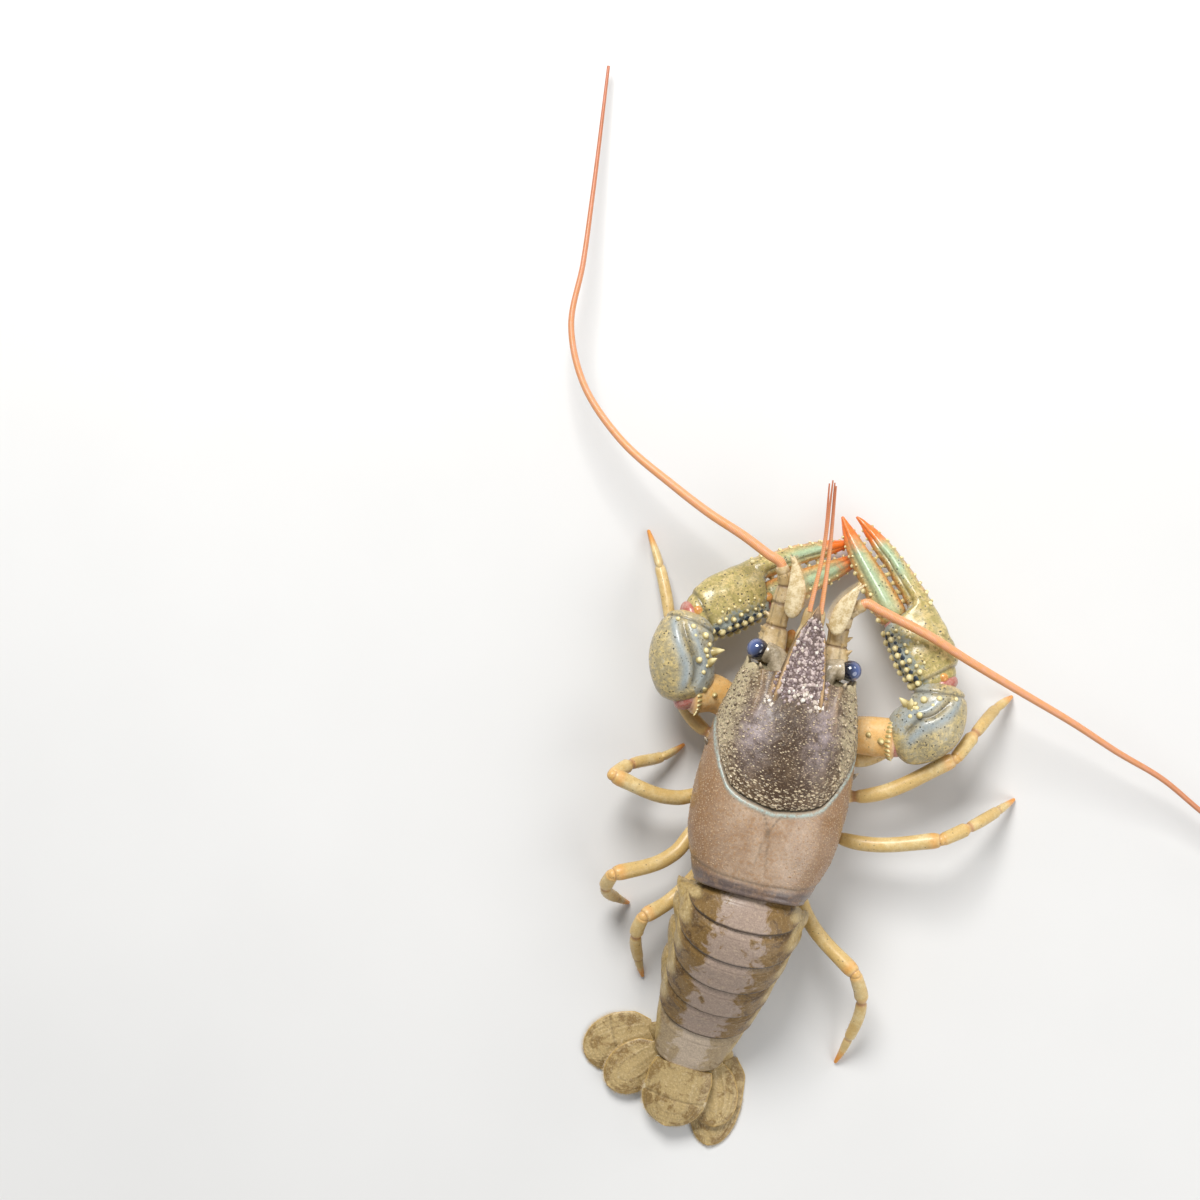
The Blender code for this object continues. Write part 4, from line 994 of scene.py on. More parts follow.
@dataclass(frozen=True)
class ClawFinish(Finish):
    """Olive claw shell with blue-grey clouds and dark specks; mint fingers, orange-red tips;
    painted shade in its grooves.
    """

    olive: Colour = (0.42, 0.34, 0.11)
    deep: Colour = (0.16, 0.135, 0.045)
    cloud: Colour = (0.29, 0.36, 0.37)
    tan: Colour = (0.68, 0.52, 0.21)
    mint: Colour = (0.38, 0.53, 0.33)
    orange: Colour = (0.8, 0.18, 0.02)
    # Near black: the dark specks, and painted shade in the grooves and pinches.
    pit: Colour = (0.038, 0.036, 0.022)
    cloudy: float = 0.8

    def paint(self, graph: Graph) -> bpy.types.Material:
        """Build the material: ALONG runs over the fingers, SIDE is 1 on the inner edge.

        Args:
            graph: The nodes of the empty material.

        Returns:
            The material.
        """
        along, side, groove, crown, rim, gutter = graph.marks(
            Mark.ALONG, Mark.SIDE, Mark.GROOVE, Mark.CROWN, Mark.RIM, Mark.GUTTER)
        broad, mid, grit, fine = graph.noises(
            (4.5, 4, 0.6, 1), (1.2, 5, 0.65, 0.5), (0.55, 3, 0.7), (0.28, 3, 0.6))
        clouds = ((1.15 - broad) * 0.9 + side * 0.3 + (grit - 0.5) * 0.6).step(0.66, 0.9)
        edge = rim * (mid.step(0.3, 0.7) * 0.4 + 0.4)
        specks = graph.dots(0.62, 0.3, 0.6) * mid.step(0.38, 0.55)
        pits = specks.most(grit.step(0.62, 0.7) * 0.8) * along.step(0.75, 0.3)
        colour = graph.layers(self.olive,
            (self.deep, (broad * 0.8 + mid * 0.7).step(0.68, 0.95) * 0.85),
            (self.tan, (mid * 0.8 + grit * 0.5).step(0.58, 0.76) * 0.8),
            (self.cloud, clouds * self.cloudy),
            (self.cloud, groove * (mid.step(0.25, 0.55) * 0.4 + 0.6)),
            (self.mint, crown * along.step(0.02, 0.35) * 0.85),
            (self.orange, ((along + (mid - 0.5) * 0.25).step(0.66, 0.86)).most(edge)),
            # Dark specks, and painted shade along the grooves and pinches.
            (self.pit, pits.most(gutter * 0.8)))
        return graph.close(graph.tint(colour, fine * 0.6 + grit * 0.5 + 0.45),
            mid * 0.25 + 0.24, fine * 0.4 + mid * 0.8 + grit * 0.5 - pits * 0.6, 0.09, 0.5, 0.16)


@dataclass(frozen=True)
class LimbFinish(Finish):
    """Straw-yellow limb shell with dark specks, darker soft joints and orange ends."""

    straw: Colour = (0.62, 0.42, 0.15)
    pale: Colour = (0.78, 0.62, 0.32)
    brown: Colour = (0.26, 0.14, 0.04)
    joint: Colour = (0.42, 0.18, 0.08)
    tip: Colour = (0.76, 0.3, 0.04)
    speck: Colour = (0.09, 0.055, 0.022)

    def paint(self, graph: Graph) -> bpy.types.Material:
        """Build the material from noise, dots and marks.

        Args:
            graph: The nodes of the empty material.

        Returns:
            The material.
        """
        side, joint, tip = graph.marks(Mark.SIDE, Mark.JOINT, Mark.TIP)
        broad, mid, fine = graph.noises((4, 3, 0.5), (0.9, 4, 0.6), (0.25, 4, 0.7))
        colour = graph.layers(self.straw, (self.pale, (broad * 0.7 + mid * 0.5).step(0.5, 0.85)),
            (self.brown, (mid * 0.9 + side * 0.3).step(0.52, 0.8) * 0.6), (self.joint, joint * 0.8),
            (self.tip, tip), (self.speck, graph.dots(0.8, 0.17, 0.4) * 0.75))
        return graph.close(graph.tint(colour, fine * 0.6 + 0.7),
            mid * 0.25 + 0.32, fine * 0.4 + mid * 0.8, 0.1, 0.3)


@dataclass(frozen=True)
class FeelerFinish(Finish):
    """Ringed feeler: salmon-orange, mauve on top, darker between its rings and outwards."""

    orange: Colour = (0.86, 0.385, 0.135)
    mauve: Colour = (0.66, 0.32, 0.22)
    far: Colour = (0.46, 0.125, 0.055)
    seam: Colour = (0.33, 0.12, 0.06)

    def paint(self, graph: Graph) -> bpy.types.Material:
        """Build the material: ALONG is the way out and CROWN the upper side.

        Args:
            graph: The nodes of the empty material.

        Returns:
            The material.
        """
        along, crown, gutter = graph.marks(Mark.ALONG, Mark.CROWN, Mark.GUTTER)
        mid = graph.noise(0.8, 3, 0.6)
        colour = graph.layers(self.orange, (self.mauve, crown * mid.step(0.3, 0.7) * 0.7),
            (self.far, along.step(0.25, 1) * 0.85), (self.seam, gutter * 0.55))
        return graph.close(graph.tint(colour, mid * 0.5 + 0.75), 0.36, mid, 0.02, 0.25)


@dataclass(frozen=True)
class PlainFinish(Finish):
    """A finish of two tones clouded into each other, with fine relief."""

    light: Colour = (0.6, 0.5, 0.33)
    dark: Colour = (0.35, 0.26, 0.14)
    roughness: float = 0.4
    coat: float = 0.3
    size: float = 1.2
    depth: float = 0.04
    crowned: bool = False
    toned: float = 0

    def paint(self, graph: Graph) -> bpy.types.Material:
        """Build the material; a crowned one is dark at the root of each stud.

        Args:
            graph: The nodes of the empty material.

        Returns:
            The material.
        """
        tone, = graph.marks(Mark.TONE)
        mid, fine = graph.noises((self.size, 4, 0.6), (self.size * 0.25, 3, 0.6))
        share = (mid * 0.7 + fine * 0.3 + (tone - 0.5) * self.toned).step(0.35, 0.65)
        if self.crowned:
            crown, = graph.marks(Mark.CROWN)
            share = crown.step(0.65, 0.12) + share * (0.15 + self.toned)
        colour = graph.tint(graph.blend(self.light, self.dark, share), fine * 0.3 + 0.85)
        return graph.close(colour, self.roughness, mid * 0.5 + fine, self.depth, self.coat, 0.12)


@dataclass(frozen=True)
class EyeFinish(Finish):
    """Deep blue-black cornea, mirror-smooth, with a painted blue reflection of the sky."""

    deep: Colour = (0.006, 0.007, 0.016)
    # Painted reflection of the sky, laid into the base colour.
    sheen: Colour = (0.085, 0.125, 0.3)

    def paint(self, graph: Graph) -> bpy.types.Material:
        """Build the material; the cornea is bluer away from its seam with the stalk, a painted
        reflection of the sky.

        Args:
            graph: The nodes of the empty material.

        Returns:
            The material.
        """
        along, = graph.marks(Mark.ALONG)
        colour = graph.blend(self.deep, self.sheen, along.step(0.3, 0.9))
        return graph.close(colour, 0.07, coat=1, coat_roughness=0.02, specular=0.8)


class Paint(Enum):
    """The finishes of the animal by name."""

    CARAPACE = CarapaceFinish("shell_of_back")
    TAIL = TailFinish("shell_of_tail")
    TAIL_END = TailFinish("shell_of_tail_end",
        middle=(0.48, 0.38, 0.28), brown=(0.33, 0.235, 0.12), blotch=(0.2, 0.125, 0.05), spread=0.8)
    FAN = TailFinish("shell_of_fan", middle=(0.58, 0.46, 0.27), brown=(0.42, 0.29, 0.11),
        blotch=(0.24, 0.145, 0.045), pale=(0.74, 0.63, 0.42), edge=(0.62, 0.41, 0.13), spread=0.8)
    CLAW = ClawFinish("shell_of_claw")
    WRIST = ClawFinish("shell_of_wrist",
        olive=(0.4, 0.33, 0.18), deep=(0.13, 0.11, 0.07), cloud=(0.33, 0.37, 0.37), cloudy=0.75)
    ARM = LimbFinish("shell_of_arm",
        straw=(0.74, 0.43, 0.14), pale=(0.8, 0.58, 0.3), joint=(0.62, 0.37, 0.3))
    LEG = LimbFinish("shell_of_leg")
    BASE = LimbFinish("shell_of_feeler_base", straw=(0.48, 0.33, 0.14),
        pale=(0.76, 0.61, 0.38), brown=(0.14, 0.09, 0.04), joint=(0.16, 0.09, 0.05))
    FEELER = FeelerFinish("rings_of_feeler")
    SCALE = PlainFinish("blade_cream", light=(0.82, 0.69, 0.44), dark=(0.5, 0.36, 0.16))
    STALK = PlainFinish("stalk_olive", light=(0.54, 0.44, 0.3), dark=(0.26, 0.205, 0.125), coat=0.6)
    EYE = EyeFinish("eye_cornea")
    BEAD = PlainFinish("bead_yellow",
        light=(0.89, 0.77, 0.4), dark=(0.46, 0.36, 0.14), coat=0.5, crowned=True, toned=0.15)
    CREAM_BEAD = PlainFinish("bead_cream",
        light=(0.52, 0.41, 0.26), dark=(0.13, 0.09, 0.05), coat=0.4, crowned=True, toned=0.5)
    GRANULE = PlainFinish("granule_tan",
        light=(0.5, 0.355, 0.215), dark=(0.34, 0.2, 0.1), toned=0.6)
    CRUST = PlainFinish("crust_grain", light=(0.54, 0.43, 0.39),
        dark=(0.2, 0.14, 0.135), roughness=0.45, coat=0.4, size=1.6, toned=1, sharp=80)
    FLAKE = PlainFinish("crust_flake", light=(0.8, 0.75, 0.66),
        dark=(0.56, 0.47, 0.38), roughness=0.6, coat=0.1, toned=0.4, sharp=35)
    SPOT = PlainFinish("spot_blue", light=(0.04, 0.06, 0.085), dark=(0.014, 0.022, 0.035), coat=0.6)
    KNOB = PlainFinish("knob_orange", light=(0.8, 0.42, 0.1), dark=(0.55, 0.22, 0.05), coat=0.5)
    SOFT = PlainFinish("skin_of_joint", light=(0.54, 0.3, 0.24), dark=(0.42, 0.1, 0.07), coat=0.5)
    UNDER = PlainFinish("shell_below", light=(0.58, 0.46, 0.29), dark=(0.38, 0.26, 0.13))
    HAIR = PlainFinish("hair_golden", light=(0.66, 0.5, 0.27), dark=(0.44, 0.3, 0.13), coat=0)


# Sub-assemblies


@dataclass
class Carapace:
    """The one-piece shell over head and thorax with its beak, ridges, beads and crust.

    Rows of beads hold first and last place, count and angle; the neck's spine holds angle, place,
    radius and height; clumps of flakes hold the places across and along, and their count.
    """

    front: float = 35.3
    knots: Row = (0, 4, 9, 15, 24, 31, 36)
    half_width: Row = (9.2, 11, 12.3, 12.6, 12, 10.6, 9.2)
    top: Row = (24.5, 25.6, 26.6, 27, 26.6, 25.1, 23.5)
    bottom: Row = (12, 10, 9.4, 9.3, 9.6, 12, 13)
    widest: float = 0.4
    powers: tuple[float, float] = (2.25, 2.7)
    groove: float = 13.5
    groove_angle: Row = (0, 20, 34, 46, 58, 90, 180)
    groove_lead: Row = (0, 1, 2.3, 5, 7.9, 13, 13.5)
    groove_depth: float = 0.55
    flap: float = 1.3
    flap_start: float = 29
    flap_angle: Row = (0, 72, 92, 108, 128, 180)
    flap_share: Row = (0, 0, 1, 1, 0, 0)
    orbit: tuple[float, float] = (-0.4, 0.45)
    ridge_y: Row = (25.5, 29, 32.5, 35.4)
    ridge_x: Row = (7.1, 6.6, 6.2, 6.4)
    ridge_height: float = 0.42
    brim_y: Row = (27.5, 30, 33, 36)
    brim_x: Row = (5, 4.8, 4.3, 3.8)
    rear_lip: Rows = ((0.88, 1.6),
        (0.925, 0.8), (0.945, 0.1), (0.956, -0.3), (0.974, -0.2), (0.99, -0.08))
    front_lip: Rows = ((0.99, 0.12),
        (0.975, 0.2), (0.955, 0.12), (0.94, -0.3), (0.9, -0.9), (0.6, -0.4))
    beak_y: Row = (28, 29.5, 33, 37, 42.5, 44.5, 46.3, 47.1)
    beak_half_width: Row = (4.4, 4.5, 4.15, 3.5, 2.15, 1.2, 0.5, 0.12)
    beak_top: Row = (24.2, 24.45, 24.4, 23.6, 22.7, 22.3, 22.15, 22.1)
    beak_depth: Row = (3.6, 3.8, 4.3, 3.4, 2.2, 1.4, 0.8, 0.35)
    beak_rim: float = 0.5
    bead_rows: Rows = ((20.5, 33, 8, 46), (24, 33.5, 7, 57), (28, 34, 5, 70))
    neck_spine: tuple[float, float, float, float] = (82, 21.5, 0.45, 1.1)
    clumps: Rows = ((-4.6, 30.6, 9), (3.2, 31.2, 14), (0.5, 32, 8))
    top_radius: float = 11.5
    sides: int = 288

    def section(self, y: Array, angle: Array) -> Array:
        """Return shell points at lengths y and angles from the top.

        Half width times a power wave of the sine goes across; above the widest level, the height
        times a power wave of the cosine goes up, and below it down, with a squarer power.

        Args:
            y: Places from rear to front.
            angle: Angles from the top, in radians.

        Returns:
            The points.
        """
        width, top, bottom = (curve(self.knots, v, y)
            for v in (self.half_width, self.top, self.bottom))
        middle = bottom + self.widest * (top - bottom)
        above = np.cos(angle) >= 0
        power = np.where(above, *self.powers)
        height = np.where(above, top - middle, middle - bottom) * power_wave(np.cos(angle), power)
        return grid(width * power_wave(np.sin(angle), power), y, middle + height)

    def shell(self) -> tuple[Array, Marks]:
        """Work out the shell.

        The rings bend forward along the neck groove. The relief is a sum of bells across named
        lines: the groove with a swollen lip behind it, the two back lines, the bead of the rear
        edge, a hollow between the beak's rims, a ridge behind each eye and a bead low on the side.

        Returns:
            The rings and their marks.
        """
        length = stations((-0.5, 12.3, 84), (12.3, 14.7, 28), (14.7, self.front, 112))
        angle = (np.arange(self.sides) + 0.5) * TAU / self.sides - math.pi
        degrees = np.abs(np.degrees(angle))
        behind = np.clip(length / self.groove, 0, 1)
        ahead = np.clip((self.front - length) / (self.front - self.groove), 0, 1)
        lead = np.clip((length - self.flap_start) / (self.front - self.flap_start), 0, 1)
        y = (length
            + curve(self.groove_angle, self.groove_lead, degrees) * np.minimum(behind, ahead)
            + self.flap * curve(self.flap_angle, self.flap_share, degrees) * lead + lead ** 2
            * (self.orbit[0] * hill(degrees, 40, 13) + self.orbit[1] * hill(degrees, 60, 9)))
        points = self.section(y, angle)
        x = np.abs(points[..., 0])
        upper, neck = rise(degrees, 96, 80), rise(degrees, 102, 84)
        back_line = (0.3 + 2.3 * np.clip((length - 10) / 3.8, 0, 1) ** 2
            + 1.1 * np.clip((10 - length) / 8.5, 0, 1) ** 1.3)
        lines = (hill(x - back_line, 0, 0.17)
            * rise(length, 2.5, 11) ** 0.5 * rise(length, 13.3, 12.4) * upper)
        ridge = (hill(x - curve(self.ridge_y, self.ridge_x, y), 0, 0.5)
            * upper * rise(y, 26, 29) * rise(y, 36.4, 35))
        brim = hill(x - curve(self.brim_y, self.brim_x, y), 0, 0.4) * upper * rise(y, 30.5, 33)
        hollow = np.clip(1 - (x / 4.3) ** 2, 0, 1) * rise(y, 27.5, 33) * upper
        relief = (neck * (0.1 * hill(length, self.groove - 0.5, 0.4)
                          - self.groove_depth * hill(length, self.groove + 0.2, 0.3))
                  - 0.09 * lines + 0.2 * hill(length, 0.5, 0.5) - 0.1 * hill(length, 1.5, 0.28)
                  + self.ridge_height * ridge + 0.3 * brim - 0.55 * hollow
                  + 0.045 * ripple(points, SEED + 5, 2.2) * rise(length, 14.2, 16) * upper
                  + 0.3 * hill(degrees, 116, 4) - 0.4 * rise(degrees, 121, 136)
                  + 0.05 * ripple(points, SEED, 5))
        points = swollen(points, relief)
        right = points[..., 0]
        marks = {Mark.SIDE: degrees / 90,
                 Mark.FRONT: rise(length, self.groove - 0.1, self.groove + 0.5),
                 Mark.GROOVE: neck * hill(length, self.groove - 0.45, 0.36),
                 # Painted shade: dark in the neck groove, along the back lines and in the grooves
                 # by the rear edge.
                 Mark.GUTTER: (np.maximum(neck * hill(length, self.groove + 0.22, 0.24),
                                          0.6 * lines)
                               + 0.5 * hill(length, 1.5, 0.2) + 0.35 * hill(length, 0.75, 0.1)),
                 Mark.RIM: rise(length, 1.6, 0.7),
                 Mark.TIP: hollow * rise(y, 30, 33),
                 Mark.CROWN: np.maximum(ridge * 0.3, brim * 0.8),
                 Mark.PATCH: upper * (0.9 * hill(right, -5.7, 2.9) * hill(y, 25.5, 5)
                                      + hill(right, 4.9, 2.7) * hill(y, 27, 5.5)),
                 Mark.BLOTCH: hill(x, 0, 3) * hill(y, 25, 5.5) * upper}
        marks = {mark: np.broadcast_to(value, x.shape) for mark, value in marks.items()}
        for lip, at in ((self.rear_lip, 0), (self.front_lip, -1)):
            points, marks = self.lipped(points, marks, np.array(lip), at)
        return points, marks

    def lipped(self, points: Array, marks: Marks, lip: Array, at: int) -> tuple[Array, Marks]:
        """Return rings and marks with the edge turned in at one end.

        Args:
            points: The rings.
            marks: Their marks.
            lip: Size of each further ring against the edge, and how far ahead of it it lies.
            at: 0 for the rear end, -1 for the front end.

        Returns:
            The longer rings and marks, with painted shade inside the turned-in edge.
        """
        level, edge = np.array((1, 0, 1)), points[at]
        middle = edge.mean(axis=0) * level
        rows = middle + (edge * level - middle) * lip[:, :1, None]
        rows[..., 1] = edge[:, 1] + lip[:, 1:]
        ends = {mark: np.broadcast_to(value[at], rows.shape[:2]) for mark, value in marks.items()}
        # Painted shade, darkest on the rows that turn furthest in.
        ends[Mark.GUTTER] = ends[Mark.GUTTER] + 0.6 * rise(lip[:, :1], 0.97, 0.93)
        order = slice(None, None, 1 if at == 0 else -1)
        return (np.concatenate([rows, points][order]),
            {mark: np.concatenate([ends[mark], marks[mark]][order]) for mark in marks})

    def beak(self) -> tuple[Array, Marks]:
        """Work out the beak.

        Around a ring, half width times cosine goes across. On top the height is a hollow that
        rises into a rim near the edge and rolls down over it; below it is a rounded keel.

        Returns:
            The rings and their marks.
        """
        start, end = self.beak_y[0], self.beak_y[-1]
        y = start + (end - start) * (1 - (1 - np.linspace(0, 1, 130)[:, None]) ** 1.3)
        width, top, depth = (curve(self.beak_y, v, y)
            for v in (self.beak_half_width, self.beak_top, self.beak_depth))
        angle = turns(128)
        part, above = np.abs(np.cos(angle)), np.sin(angle) >= 0
        rim = self.beak_rim * np.clip(width / 2, 0, 1)
        over = (rim * (1.6 * rise(part, 0.5, 0.82) - 0.2 * rise(part, 0.86, 0.94) - 0.9)
            - 0.35 * depth * rise(part, 0.9, 1) ** 1.5)
        under = -depth * (0.35 + 0.65 * (1 - part ** 2.2))
        points = grid(width * np.cos(angle), y, top + np.where(above, over, under))
        marks = {Mark.FRONT: 1, Mark.SIDE: 1.25 - 0.9 * above,
                 Mark.TIP: above * rise(part, 0.82, 0.7) * rise(y, 29.5, 33),
                 Mark.CROWN: ((above * hill(part, 0.87, 0.07) + rise(y, 44.5, 46.5) * 0.6)
                              * rise(y, 29.5, 33))}
        return points, marks

    def beads(self, shell: Array, marks: Marks, rng: np.random.Generator) -> list[Patch]:
        """Return the pale beads of the head, in three zones and three rows, and its spines.

        Args:
            shell: The shell's rings.
            marks: Its marks.
            rng: Where sizes are drawn from.

        Returns:
            Beads and spines.
        """
        side, length, beads = marks[Mark.SIDE], shell[..., 1], []
        head = ((marks[Mark.FRONT] > 0.9)
            * self.clear(marks) * rise(side, 1.15, 1) * rise(length, 35.2, 34.5))
        behind = length - 14 - curve(self.groove_angle, self.groove_lead, side * 90)
        for zone, count, spacing, sizes, drawn in (
                (rise(side, 0.28, 0.6) * rise(side, 1.1, 0.7), 1300, 0.9, (0.1, 0.23), 0.3),
                (marks[Mark.BLOTCH] + 0.25, 1400, 0.75, (0.07, 0.14), 0.6),
                (rise(behind, 4.5, 0.5), 1500, 0.6, (0.1, 0.19), 1.1)):
            point, way, around = scatter(shell, head * zone, count, spacing, SEED + count)
            size = rng.uniform(*sizes, len(point))
            height = size * rng.uniform(0.4, 0.7, len(point))
            beads.append(studs(point, way + (0, 0.4, 0), size, height,
                sides=7, uneven=0.08, broad=drawn * unit(around)))
        row_y = np.concatenate([np.linspace(*row[:3]) for row in self.bead_rows])
        row_angle = np.concatenate([np.full(row[2], row[3]) for row in self.bead_rows])
        degrees, y, radius, height = self.neck_spine
        for sign in SIDE.values():
            point, way = self.spots(row_y, sign * np.radians(row_angle + rng.uniform(-2, 2, 20)))
            size = rng.uniform(0.26, 0.36, 20)
            beads.append(studs(point, way + (0, 0.5, 0), size, size, sides=10))
            point, way = self.spots(np.array((y, self.front)), sign * np.radians((degrees, 44)))
            way = way * (1, 1, 0.6) + (0, 0.9, 0)
            beads.append(studs(point, way, (radius, 0.42), (height, 1), StudForm.SPINE, 12))
        return beads

    def clear(self, marks: Marks) -> Array:
        """Return where the shell is free of grooves and crust."""
        return (marks[Mark.GROOVE] < 0.3) * (marks[Mark.GUTTER] < 0.3) * (marks[Mark.TIP] < 0.2)

    def build(self) -> list[Piece]:
        """Make the shell, its beads and the crust of the beak.

        Returns:
            The pieces.
        """
        (shell, marks), (beak, beak_marks) = self.shell(), self.beak()
        body = closed_tube(shell, marks, (None, (0, 34.7, 17.5)))
        rng = np.random.default_rng(SEED)
        beads = self.beads(shell, marks, rng)
        side, length = marks[Mark.SIDE], shell[..., 1]
        rear = ((marks[Mark.FRONT] < 0.1) * self.clear(marks)
            * rise(side, 0.12, 0.6) * rise(side, 1.2, 1.05) * rise(length, 1.8, 3))
        point, out, _ = scatter(shell, rear, 3000, 0.55, SEED + 2)
        size = rng.uniform(0.06, 0.13, len(point))
        grain = studs(point, out, size, size * 0.6, StudForm.GRAIN, 6)
        crust, flakes = [], []
        for rings, zone, count in (
                (beak, beak_marks[Mark.TIP] * (beak[..., 1] < 45) * (beak[..., 1] > 32), 3600),
                (shell, marks[Mark.TIP] * rise(length, 30.5, 33.5), 700)):
            for made, share, spacing, least, extra in ((crust, count, 0.5, 0.17, 0),
                    (flakes, count // 100, 0.9, 0.2, 0.04)):
                point, out, _ = scatter(rings, zone, share, spacing, SEED + share)
                size = rng.uniform(least, 0.36, len(point))
                high = rng.uniform(0.08, 0.18, len(point)) + extra
                made.append(studs(point, out, size, high, StudForm.GRAIN, 7, uneven=0.3))
        for x, y, count in self.clumps:
            angle = (x + rng.normal(size=count) * 1.1) / self.top_radius
            point, out = self.spots(y + rng.normal(size=count) * 0.45, angle)
            size = rng.uniform(0.2, 0.45, count)
            flakes.append(
                studs(point - (0, 0, 0.25), out, size, 0.36, StudForm.GRAIN, 7, uneven=0.35))
        return [Piece("carapace_shell", [body, closed_tube(beak, beak_marks)], Paint.CARAPACE,
                      "shell", ("carapace",)),
                Piece("carapace_beads", beads, Paint.CREAM_BEAD, "shell"),
                Piece("carapace_granules", [grain], Paint.GRANULE, "shell"),
                Piece("beak_crust", crust, Paint.CRUST, "shell"),
                Piece("beak_flakes", flakes, Paint.FLAKE, "shell")]

    def spots(self, y: Array, angle: Array) -> tuple[Array, Array]:
        """Return plain shell points and their outward directions."""
        return surface_spots(self.section, y, angle, 0.02)


@dataclass
class Abdomen:
    """Six shell rings that lap one another, with side flaps, fringes and small blades below.

    Stops are the shares of half a section, from the top, where the arch, the flap's outer side,
    its inner side and the floor start and end.
    """

    rim_x: Row = (0, -0.25, -0.6, -1, -1.4, -1.9, -2.6)
    rim_y: Row = (-0.9, -5.4, -11.3, -16.4, -21.2, -25.5, -32.3)
    rim_z: Row = (23.4, 24, 22.2, 18.7, 14.6, 10.4, 6)
    pitch: Row = (0, 10, 28, 37, 41, 36, 20)
    yaw: Row = (0, 1.5, 3, 4, 4.5, 5, 4)
    half_width: Row = (8.6, 9.4, 9.9, 9.3, 8.9, 8.2, 6)
    height: Row = (9.5, 10, 10, 9.5, 8.6, 7, 3.6)
    flap_depth: Row = (1, 4.2, 4, 3.8, 3.2, 0.6)
    flap_thickness: float = 1.4
    flap_flare: float = 0.42
    arch_share: float = 0.78
    stops: Row = (0, 0.52, 0.72, 0.86, 1)
    swell_at: Row = (-0.3, 0, 0.1, 0.26, 0.36, 0.85, 0.96, 1.05)
    swell: Row = (-0.6, -0.46, -0.36, -0.1, 0, 0.08, 0.1, -0.06)
    blade_length: Row = (0, 3.4, 3.4, 2.8, 1.9, 0)
    blade_x: float = 3.6
    sides: int = 136

    def frame(self, place: Array) -> tuple[Array, Array, Array, Array]:
        """Find the abdomen's own directions.

        Args:
            place: Places along it, 0 to 6.

        Returns:
            The top point and the back, side and up directions.
        """
        x, y, z, pitch, yaw = (curve(range(7), v, place)
            for v in (self.rim_x, self.rim_y, self.rim_z, self.pitch, self.yaw))
        pitch, yaw = np.radians(pitch), np.radians(yaw)
        back = grid(-np.sin(yaw) * np.cos(pitch), -np.cos(yaw) * np.cos(pitch), -np.sin(pitch))
        side = grid(np.cos(yaw), -np.sin(yaw), 0)
        return grid(x, y, z), back, side, np.cross(back, side)

    def profile(self, share: Array,
            width: Array, height: Array, lobe: Array, swell: Array) -> tuple[Array, Array]:
        """Return how far across and how far down the half section runs.

        From the top, a rounded arch runs down to the side; from there a quadratic curve bulges out
        to the tip of the flap, a second one comes back up inside it, and a line closes below.

        Args:
            share: Way round the half section, 0 at the top to 1 at the bottom.
            width: Half width of the ring.
            height: Height of the ring.
            lobe: Depth of its flap.
            swell: Swelling of the arch.

        Returns:
            The distances across and down (negative).
        """
        arch, outer, inner, below = (np.clip((share - start) / (end - start), 0, 1)
            for start, end in zip(self.stops, self.stops[1:]))
        _, flank, tip, floor, _ = self.stops
        thick, angle, flare = self.flap_thickness, arch * math.pi / 2, self.flap_flare * lobe
        high = self.arch_share * height
        tip_x, tip_z = width + flare - 0.35 * thick, -height - lobe
        end_x, end_z = width - 1.3 * thick, -height + 0.15
        x = np.where(share < flank,
            width * power_wave(np.sin(angle), 2.2), bow(outer, width, width + flare + 0.15, tip_x))
        z = np.where(share < flank, high * (power_wave(np.cos(angle), 2.2) - 1) + swell,
            bow(outer, swell - high, -height - 0.35 * lobe, tip_z))
        x = np.where(share > tip, bow(inner, tip_x, width - thick, end_x), x)
        z = np.where(share > tip, bow(inner, tip_z, -height - 0.55 * lobe, end_z), z)
        return (np.where(share > floor, end_x * (1 - below), x),
            np.where(share > floor, end_z - 0.2 * np.sin(below * math.pi / 2), z))

    def ring_shell(self, index: int) -> tuple[Array, Marks]:
        """Work out one segment, tucked in at its front, lapping at its rear.

        Args:
            index: Its number from 0.

        Returns:
            The rings and their marks.
        """
        place = stations((-0.3 if index == 0 else -0.05, 0.12, 14),
            (0.12, 0.9, 38), (0.9, 1.05, 16))
        share = (np.arange(self.sides) + 0.5) / (self.sides / 2) - 1
        sign, share = np.sign(share), np.abs(share)
        held = np.clip(index + place, 0, 6)
        top, back, side, up = (v[:, 0] for v in self.frame(held))
        top = top + (index + place - held) * 5 * back
        swell = curve(self.swell_at, self.swell, place) - 0.05 * hill(place, 0.31, 0.02)
        arc = np.sin(math.pi * np.clip(place, 0, 1) ** 1.2) ** 0.7
        lobe = np.maximum(self.flap_depth[index] * arc, 0.05)
        width, height = (curve(range(7), v, held) for v in (self.half_width, self.height))
        x, down = self.profile(share, width + swell, height, lobe, swell)
        _, flank, tip, floor, _ = self.stops
        down = down - 0.35 * hill(place, 0.5, 0.16) * rise(share, floor, 0.93)
        sweep = (3 * np.clip(share / flank, 0, 1) ** 2 - 1) * rise(index + place, 0, 1.2)
        rings = (top[:, None] + (sign * x)[..., None] * side[:, None]
            + down[..., None] * up[:, None] - sweep[..., None] * back[:, None])
        edge = rise(share, 0.62, tip) * rise(share, 0.8, tip) * rise(lobe, 0.8, 2)
        lean = 0.16 * (2 * place - 1) ** 2
        marks = {Mark.SIDE: np.interp(share, self.stops, (0, 0.72, 1, 1.6, 2)),
                 Mark.PATCH: rise(share, 0.27 + lean, 0.36 + lean) * rise(share, 0.9, 0.75),
                 Mark.RIM: np.maximum(0.8 * edge, 0.5 * hill(share, 0.37 + lean, 0.03)
                                      * rise(place, 0.1, 0.3)),
                 # Painted shade: under the lap at the rear edge, in the tucked-in front and along
                 # the groove line.
                 Mark.GUTTER: np.clip(rise(place, 0.97, 1.02) + 0.25 * hill(place, 0.31, 0.02)
                                      + 0.7 * rise(place, 0.08, 0), 0, 1)}
        return swollen(rings, 0.04 * ripple(rings, SEED + index, 3)), marks

